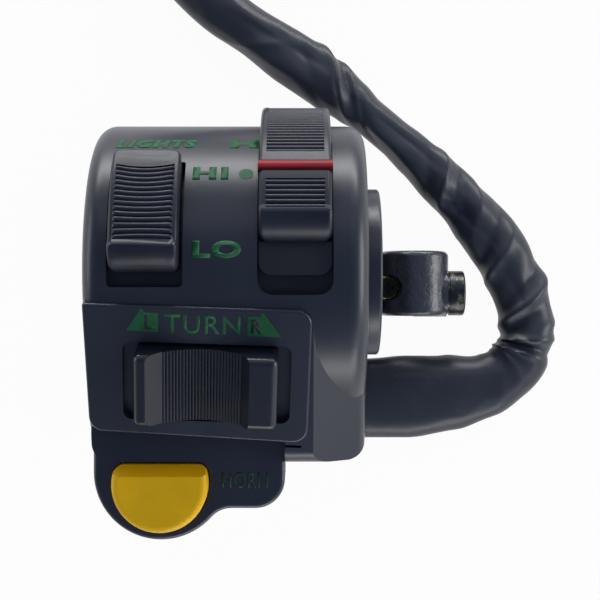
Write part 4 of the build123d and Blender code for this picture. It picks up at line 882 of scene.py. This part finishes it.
def make_tube(name, line, section, sides, ends):
    """A closed tube along a line. section gives the offsets across and up at a distance and an angle.
    ends are the rings that turn the far end in on itself, as (share of the radius, distance back)."""
    places = []
    for i, (point, along) in enumerate(line):
        before = line[max(i - 1, 0)][0]
        after = line[min(i + 1, len(line) - 1)][0]
        ahead = (after - before).normalized()
        across = ahead.cross(Vector((0, 0, 1))).normalized()
        places.append((point, along, ahead, across, across.cross(ahead)))
    rings = []
    for point, along, ahead, across, up in places:
        ring = []
        for k in range(sides):
            side, rise = section(along / MM, 2 * math.pi * k / sides)
            ring.append(point + (across * side + up * rise) * MM)
        rings.append(ring)
    for share, back in ends:
        point, along, ahead, across, up = places[-1]
        centre = point - ahead * back * MM
        rings.append([centre + (corner - point) * share for corner in rings[len(places) - 1]])
    faces = []
    for i in range(len(rings) - 1):
        for k in range(sides):
            a = i * sides + k
            b = i * sides + (k + 1) % sides
            faces.append((a, a + sides, b + sides, b))
    faces.append(tuple(range(sides)))
    faces.append(tuple(reversed(range((len(rings) - 1) * sides, len(rings) * sides))))
    mesh = bpy.data.meshes.new(name)
    mesh.from_pydata([tuple(corner) for ring in rings for corner in ring], [], faces)
    mesh.update()
    tube = new_piece(name, mesh)
    pick(tube)
    bpy.ops.object.mode_set(mode="EDIT")
    bpy.ops.mesh.select_all(action="SELECT")
    bpy.ops.mesh.normals_make_consistent(inside=False)
    bpy.ops.object.mode_set(mode="OBJECT")
    bpy.ops.object.shade_smooth_by_angle(angle=math.radians(50))
    return tube


# Operators


class SWITCH_OT_studio(bpy.types.Operator):
    """Sets the camera, the pale table and the soft lights"""

    bl_idname = "switch.studio"
    bl_label = "Studio"

    def execute(self, context):
        settings = context.scene.switch_studio
        scene = context.scene
        scene.view_settings.view_transform = "Standard"
        clear_selection()
        place = (CAMERA_ACROSS * MM, -CAMERA_DOWN * MM, settings.height)
        bpy.ops.object.camera_add(location=place, rotation=(0, 0, 0))
        camera = context.object
        camera.name = "camera"
        camera.data.lens = settings.lens
        camera.data.sensor_width = 36
        camera.data.clip_start = 0.01
        scene.camera = camera

        clear_selection()
        bpy.ops.mesh.primitive_plane_add(size=6, location=(0, 0, (TABLE_LEVEL - TABLE_GAP) * MM))
        table = context.object
        table.name = "table"
        cover(table, self.white_table())

        for name, place, size, power, share in LIGHTS:
            self.soft_light(name, place, size, share * getattr(settings, power))
        self.white_tent(settings.sky)
        return {"FINISHED"}

    def soft_light(self, name, place, size, power):
        """One rectangular light that faces the switch."""
        clear_selection()
        bpy.ops.object.light_add(type="AREA", location=place)
        light = bpy.context.object
        light.name = name
        light.data.shape = "RECTANGLE"
        light.data.size, light.data.size_y = size
        light.data.energy = power
        light.rotation_mode = "QUATERNION"
        light.rotation_quaternion = Vector(place).to_track_quat("Z", "Y")

    def white_table(self):
        """White to the camera and to gloss, with the object's shadow kept."""
        finish = Finish("table_white", (0.82, 0.83, 0.84), 0.6)
        cloud = finish.clouds(0.4, detail=2)
        colours = finish.blend(cloud, (0.81, 0.82, 0.83), (0.83, 0.84, 0.85))
        finish.done(colours, 0.6, finish.clouds(0.002, detail=3), 0.00001)
        seen = finish.add("ShaderNodeLightPath", output="Is Camera Ray")
        glossy = finish.add("ShaderNodeLightPath", output="Is Glossy Ray")
        through = finish.add("ShaderNodeLightPath", output="Is Transmission Ray")
        glow = finish.add("ShaderNodeEmission", {}, {"Color": (1, 1, 1), "Strength": 1.0})
        share = (seen + glossy + through).at_most(1.0) * TABLE_WHITE
        lit = Level(finish, finish.shader.outputs[0])
        shown = finish.add("ShaderNodeMixShader", {}, {0: share, 1: lit, 2: glow})
        finish.feed(finish.tree.nodes["Material Output"].inputs["Surface"], shown)
        return finish.material

    def white_tent(self, strength):
        """Soft light from all round, bluer from above, and white where the camera sees it."""
        world = bpy.data.worlds.new("white_tent")
        bpy.context.scene.world = world
        world.use_nodes = True
        tent = Nodes(world.node_tree)
        _, _, height = tent.split(tent.add("ShaderNodeTexCoord", output="Generated"))
        tint = tent.blend(height.ramp(*TENT_HEIGHTS), TENT_LOW, TENT_HIGH)
        glow = tent.add("ShaderNodeBackground", {}, {"Color": tint, "Strength": strength})
        white = tent.add("ShaderNodeBackground", {}, {"Color": (1, 1, 1), "Strength": 1.0})
        seen = tent.add("ShaderNodeLightPath", output="Is Camera Ray")
        shown = tent.add("ShaderNodeMixShader", {}, {0: seen, 1: glow, 2: white})
        tent.feed(tent.tree.nodes["World Output"].inputs["Surface"], shown)


class SWITCH_OT_sleeve(bpy.types.Operator):
    """Makes the harness's creased vinyl sleeve"""

    bl_idname = "switch.sleeve"
    bl_label = "Harness Sleeve"

    def execute(self, context):
        settings = context.scene.switch_harness
        strength = settings.crease / CREASE_HEIGHT
        points = route_points(SLEEVE_ROUTE)
        line = evenly(points, settings.rings)

        def section(along, angle):
            width = between(SLEEVE_HALF_WIDTH, along)
            thickness = between(SLEEVE_HALF_THICKNESS, along)
            side = math.cos(angle)
            rise = math.sin(angle)
            stand = strength * min(1.0, along / SLEEVE_FADE) * crease_height(along, angle)
            reach = math.hypot(width * side, thickness * rise) + CREASE_SHARE * stand
            reach = min(max(reach, SLEEVE_REACH[0]), SLEEVE_REACH[1])
            lean = math.atan2(thickness * rise, width * side)
            up = reach * math.sin(lean)
            return reach * math.cos(lean), min(max(up, SLEEVE_RISE[0]), SLEEVE_RISE[1])

        sleeve = make_tube("sleeve_vinyl", line, section, settings.sides, SLEEVE_END)
        cover(sleeve, creased_vinyl("creased_vinyl", tuple(settings.vinyl)))
        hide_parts("harness_sleeve")
        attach(sleeve, "casing")
        return {"FINISHED"}


class SWITCH_OT_wires(bpy.types.Operator):
    """Makes the six wires between the sleeve and the connector, and finishes the connector"""

    bl_idname = "switch.wires"
    bl_label = "Wires and Connector"

    def execute(self, context):
        for name, route in WIRE_ROUTES.items():
            line = cord_line(f"wire_{name}_lead", route, 24)
            line.bevel_depth = WIRE_RADIUS * MM
            line.bevel_resolution = 5
            line.use_fill_caps = True
            wire = new_piece(line.name, line)
            cover(wire, wire_plastic(f"wire_{name}_plastic", WIRE_COLOURS[name]))
            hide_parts(f"wire_{name}")
            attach(wire, "casing")
        wear(milky_nylon("milky_nylon"), "connector_housing")
        wear(plated("tinned_pins", (0.72, 0.70, 0.66), 0.25, (0.5, 0.47, 0.42)), "connector_pins")
        return {"FINISHED"}


class SWITCH_OT_casing(bpy.types.Operator):
    """Finishes the two halves of the casing"""

    bl_idname = "switch.casing"
    bl_label = "Casing"

    def execute(self, context):
        settings = context.scene.switch_casing
        black = moulded_black("moulded_black", tuple(settings.black), settings.roughness, settings.grain)
        wear(black, "front_casing", "rear_casing")
        wear(soft_rubber("soft_rubber"), "cable_grommet")
        return {"FINISHED"}


class SWITCH_OT_legends(bpy.types.Operator):
    """Prints the legends of the switches"""

    bl_idname = "switch.legends"
    bl_label = "Legends"

    def execute(self, context):
        settings = context.scene.switch_legends
        rise = settings.ink
        green = printed_green("legend_green", tuple(settings.green))
        faded = printed_green("legend_faded", tuple(settings.faded))
        dark = moulded_black("legend_dark", (0.005, 0.007, 0.012), 0.6, 0.0004)
        panel = panel_matrix()

        lights = flat_word("legend_lights", "LIGHTS", 14.7, 3.1, lean=0.2, weight=0.075, spacing=1.2)
        dot = [(1.28 * math.cos(math.pi * k / 24), 1.2 * math.sin(math.pi * k / 24)) for k in range(48)]
        drum_words = [
            (lights, -13.0, 55.0),
            (flat_word("legend_head", "H", 5.2, 3.1, weight=0.065), 2.9, 55.0),
            (flat_word("legend_high", "HI", 6.3, 3.0, weight=0.06, spacing=1.2), -2.8, 37.4),
            (flat_word("legend_low", "LO", 8.5, 3.1, weight=0.055, spacing=1.15), -1.4, 6.8),
            (flat_shape("legend_off", dot), 3.5, 37.0),
        ]
        for word, across, angle in drum_words:
            lay_on_drum(word, across, angle, rise)
            self.settle(word, drum_point(0, angle, 1), green, rise)

        left = flat_shape("legend_left", ARROW_LEFT)
        right = flat_shape("legend_right", ARROW_RIGHT)
        left_letter = flat_word("legend_left_letter", "L", 1.7, 2.6, weight=0.012)
        right_letter = flat_word("legend_right_letter", "R", 1.9, 2.6, weight=0.012)
        turn = flat_word("legend_turn", "TURN", 13.2, 3.5, weight=0.008, spacing=1.12)
        horn = flat_word("legend_horn", "HORN", 8.4, 2.9, weight=0.004, spacing=1.08)
        flat_words = [
            (left, panel, 0, 0, rise, green),
            (right, panel, 0, 0, rise, green),
            (left_letter, panel, -10.05, 11.25, 2 * rise, dark),
            (right_letter, panel, 8.55, 11.05, 2 * rise, dark),
            (turn, panel, -0.9, 11.1, rise, green),
            (horn, plate_matrix(), 2.97, -38.3, rise, faded),
        ]
        for word, face, across, up, level, material in flat_words:
            lay_flat(word, face, across, up, level)
            self.settle(word, face.to_3x3() @ Vector((0, 0, 1)), material, rise)
        return {"FINISHED"}

    def settle(self, word, outward, material, thickness):
        """Side, finish, thickness and body of a laid legend."""
        face_out(word, outward)
        cover(word, material)
        ink(word, thickness * INK_DEPTH)
        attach(word, "casing")


class SWITCH_OT_thumb_switches(bpy.types.Operator):
    """Finishes the dimmer and the lights lever"""

    bl_idname = "switch.thumb_switches"
    bl_label = "Dimmer and Lights Lever"

    def execute(self, context):
        settings = context.scene.switch_knobs
        black = knob_black("knob_black", tuple(settings.knob))
        acetal = moulded_black("slider_black", shade(tuple(settings.knob), 0.6), 0.55, 0.0005)
        wear(black, "lights_knob")
        knob = self.curve_ribs("dimmer_grip", "dimmer_knob")
        cover(knob, black)
        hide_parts("dimmer_knob")
        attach(knob, "dimmer")
        wear(acetal, "dimmer_slider", "lights_slider")
        wear(glowing_red("index_red", tuple(settings.index)), "lights_index")
        return {"FINISHED"}

    def curve_ribs(self, name, node):
        """A copy of a thumb knob whose ribs curve up towards their ends."""
        knob = new_piece(name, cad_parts[node].data.copy())
        pick(knob)
        low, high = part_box(node)
        middle = (low[0] + high[0]) / 2
        bpy.ops.object.mode_set(mode="EDIT")
        bpy.ops.mesh.select_all(action="SELECT")
        bpy.ops.mesh.remove_doubles(threshold=0.000002)
        for k in range(-RIB_CUTS, RIB_CUTS + 1):
            bpy.ops.mesh.select_all(action="SELECT")
            cut = middle + k * RIB_HALF_WIDTH * MM / RIB_CUTS
            bpy.ops.mesh.bisect(plane_co=(cut, 0, 0), plane_no=(1, 0, 0))
        bpy.ops.object.mode_set(mode="OBJECT")
        for vertex in knob.data.vertices:
            x, y, z = vertex.co
            radius = math.hypot(y, z)
            angle = math.degrees(math.atan2(y, z))
            share = min(1.0, abs(x - middle) / (RIB_HALF_WIDTH * MM))
            depth = between(RIB_DEPTH, radius / MM)
            turn = math.radians(angle + between(RIB_SWING, angle) * share * share * depth)
            vertex.co = (x, radius * math.sin(turn), radius * math.cos(turn))
        knob.data.update()
        bpy.ops.object.shade_smooth_by_angle(angle=math.radians(28))
        return knob


class SWITCH_OT_turn_switch(bpy.types.Operator):
    """Finishes the turn switch"""

    bl_idname = "switch.turn_switch"
    bl_label = "Turn Switch"

    def execute(self, context):
        settings = context.scene.switch_knobs
        colour = shade(tuple(settings.knob), 0.8)
        wear(moulded_black("turn_knob_black", colour, 0.3, 0.0003, relief=0.000004), "turn_knob")
        wear(moulded_black("turn_slider_black", colour, 0.5, 0.0005), "turn_slider")
        return {"FINISHED"}


class SWITCH_OT_horn_switch(bpy.types.Operator):
    """Finishes the horn button and makes the spring that it presses"""

    bl_idname = "switch.horn_switch"
    bl_label = "Horn Button"

    def execute(self, context):
        wear(moulded_yellow("button_yellow", tuple(context.scene.switch_knobs.button)), "horn_button")
        coil = new_piece("horn_coil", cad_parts["horn_spring"].data.copy())
        cover(coil, plated("spring_wire", (0.42, 0.42, 0.43), 0.25, (0.27, 0.26, 0.25)))
        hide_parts("horn_spring")
        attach(coil, "casing")
        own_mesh(coil)
        return {"FINISHED"}


class SWITCH_OT_hardware(bpy.types.Operator):
    """Finishes the mirror bracket, the screws, the springs and the contacts"""

    bl_idname = "switch.hardware"
    bl_label = "Bracket, Screws and Contacts"

    def execute(self, context):
        wear(gloss_enamel("gloss_enamel"), "mirror_bracket")
        zinc = plated("zinc_plate", (0.55, 0.56, 0.57), 0.32, (0.36, 0.36, 0.35))
        # Painted glints: the brassy patches on the dark bolt and washer
        dark = plated("dark_plate", (0.040, 0.043, 0.050), 0.34, (0.26, 0.23, 0.14))
        brass = plated("contact_brass", (0.66, 0.47, 0.18), 0.28, (0.42, 0.28, 0.11))
        spring = bpy.data.materials["spring_wire"]
        board = laminate("brown_laminate")
        wear(zinc, "casing_screws", "horn_plate_screw", "horn_base_screws")
        wear(rimmed_screw("rimmed_screw", *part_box("bracket_screw")), "bracket_screw")
        wear(dark, "mirror_lock_bolt", "mirror_lock_washer")
        wear(board, "horn_contact_base")
        wear(brass, "horn_contact", "horn_contact_rivets")
        for unit in ("dimmer", "lights", "turn"):
            wear(board, f"{unit}_contact_base")
            wear(brass, f"{unit}_contact", f"{unit}_contact_rivets")
            wear(zinc, f"{unit}_base_screw", f"{unit}_detent_ball")
            wear(spring, f"{unit}_detent_spring")
        return {"FINISHED"}


class SWITCH_PT_cluster(bpy.types.Panel):
    """Settings and pieces of the switch cluster"""

    bl_idname = "SWITCH_PT_cluster"
    bl_label = "Switch Cluster"
    bl_space_type = "VIEW_3D"
    bl_region_type = "UI"
    bl_category = "Switch Cluster"

    def draw(self, context):
        for name, settings in SETTINGS.items():
            box = self.layout.box()
            for value in settings.__annotations__:
                box.prop(getattr(context.scene, name), value)
        for operator in PIECES:
            self.layout.operator(operator.bl_idname)


SETTINGS = {
    "switch_casing": CasingSettings,
    "switch_legends": LegendSettings,
    "switch_knobs": SwitchSettings,
    "switch_harness": HarnessSettings,
    "switch_studio": StudioSettings,
}
PIECES = (
    SWITCH_OT_studio,
    SWITCH_OT_sleeve,
    SWITCH_OT_wires,
    SWITCH_OT_casing,
    SWITCH_OT_legends,
    SWITCH_OT_thumb_switches,
    SWITCH_OT_turn_switch,
    SWITCH_OT_horn_switch,
    SWITCH_OT_hardware,
)


def register():
    for cls in (*SETTINGS.values(), *PIECES, SWITCH_PT_cluster):
        bpy.utils.register_class(cls)
    for name, cls in SETTINGS.items():
        setattr(bpy.types.Scene, name, PointerProperty(type=cls))


def unregister():
    for name in SETTINGS:
        delattr(bpy.types.Scene, name)
    for cls in reversed((*SETTINGS.values(), *PIECES, SWITCH_PT_cluster)):
        bpy.utils.unregister_class(cls)


def main():
    register()
    bpy.ops.switch.studio()
    bpy.ops.switch.sleeve()
    bpy.ops.switch.wires()
    bpy.ops.switch.casing()
    bpy.ops.switch.legends()
    bpy.ops.switch.thumb_switches()
    bpy.ops.switch.turn_switch()
    bpy.ops.switch.horn_switch()
    bpy.ops.switch.hardware()


if __name__ == "__main__":
    main()
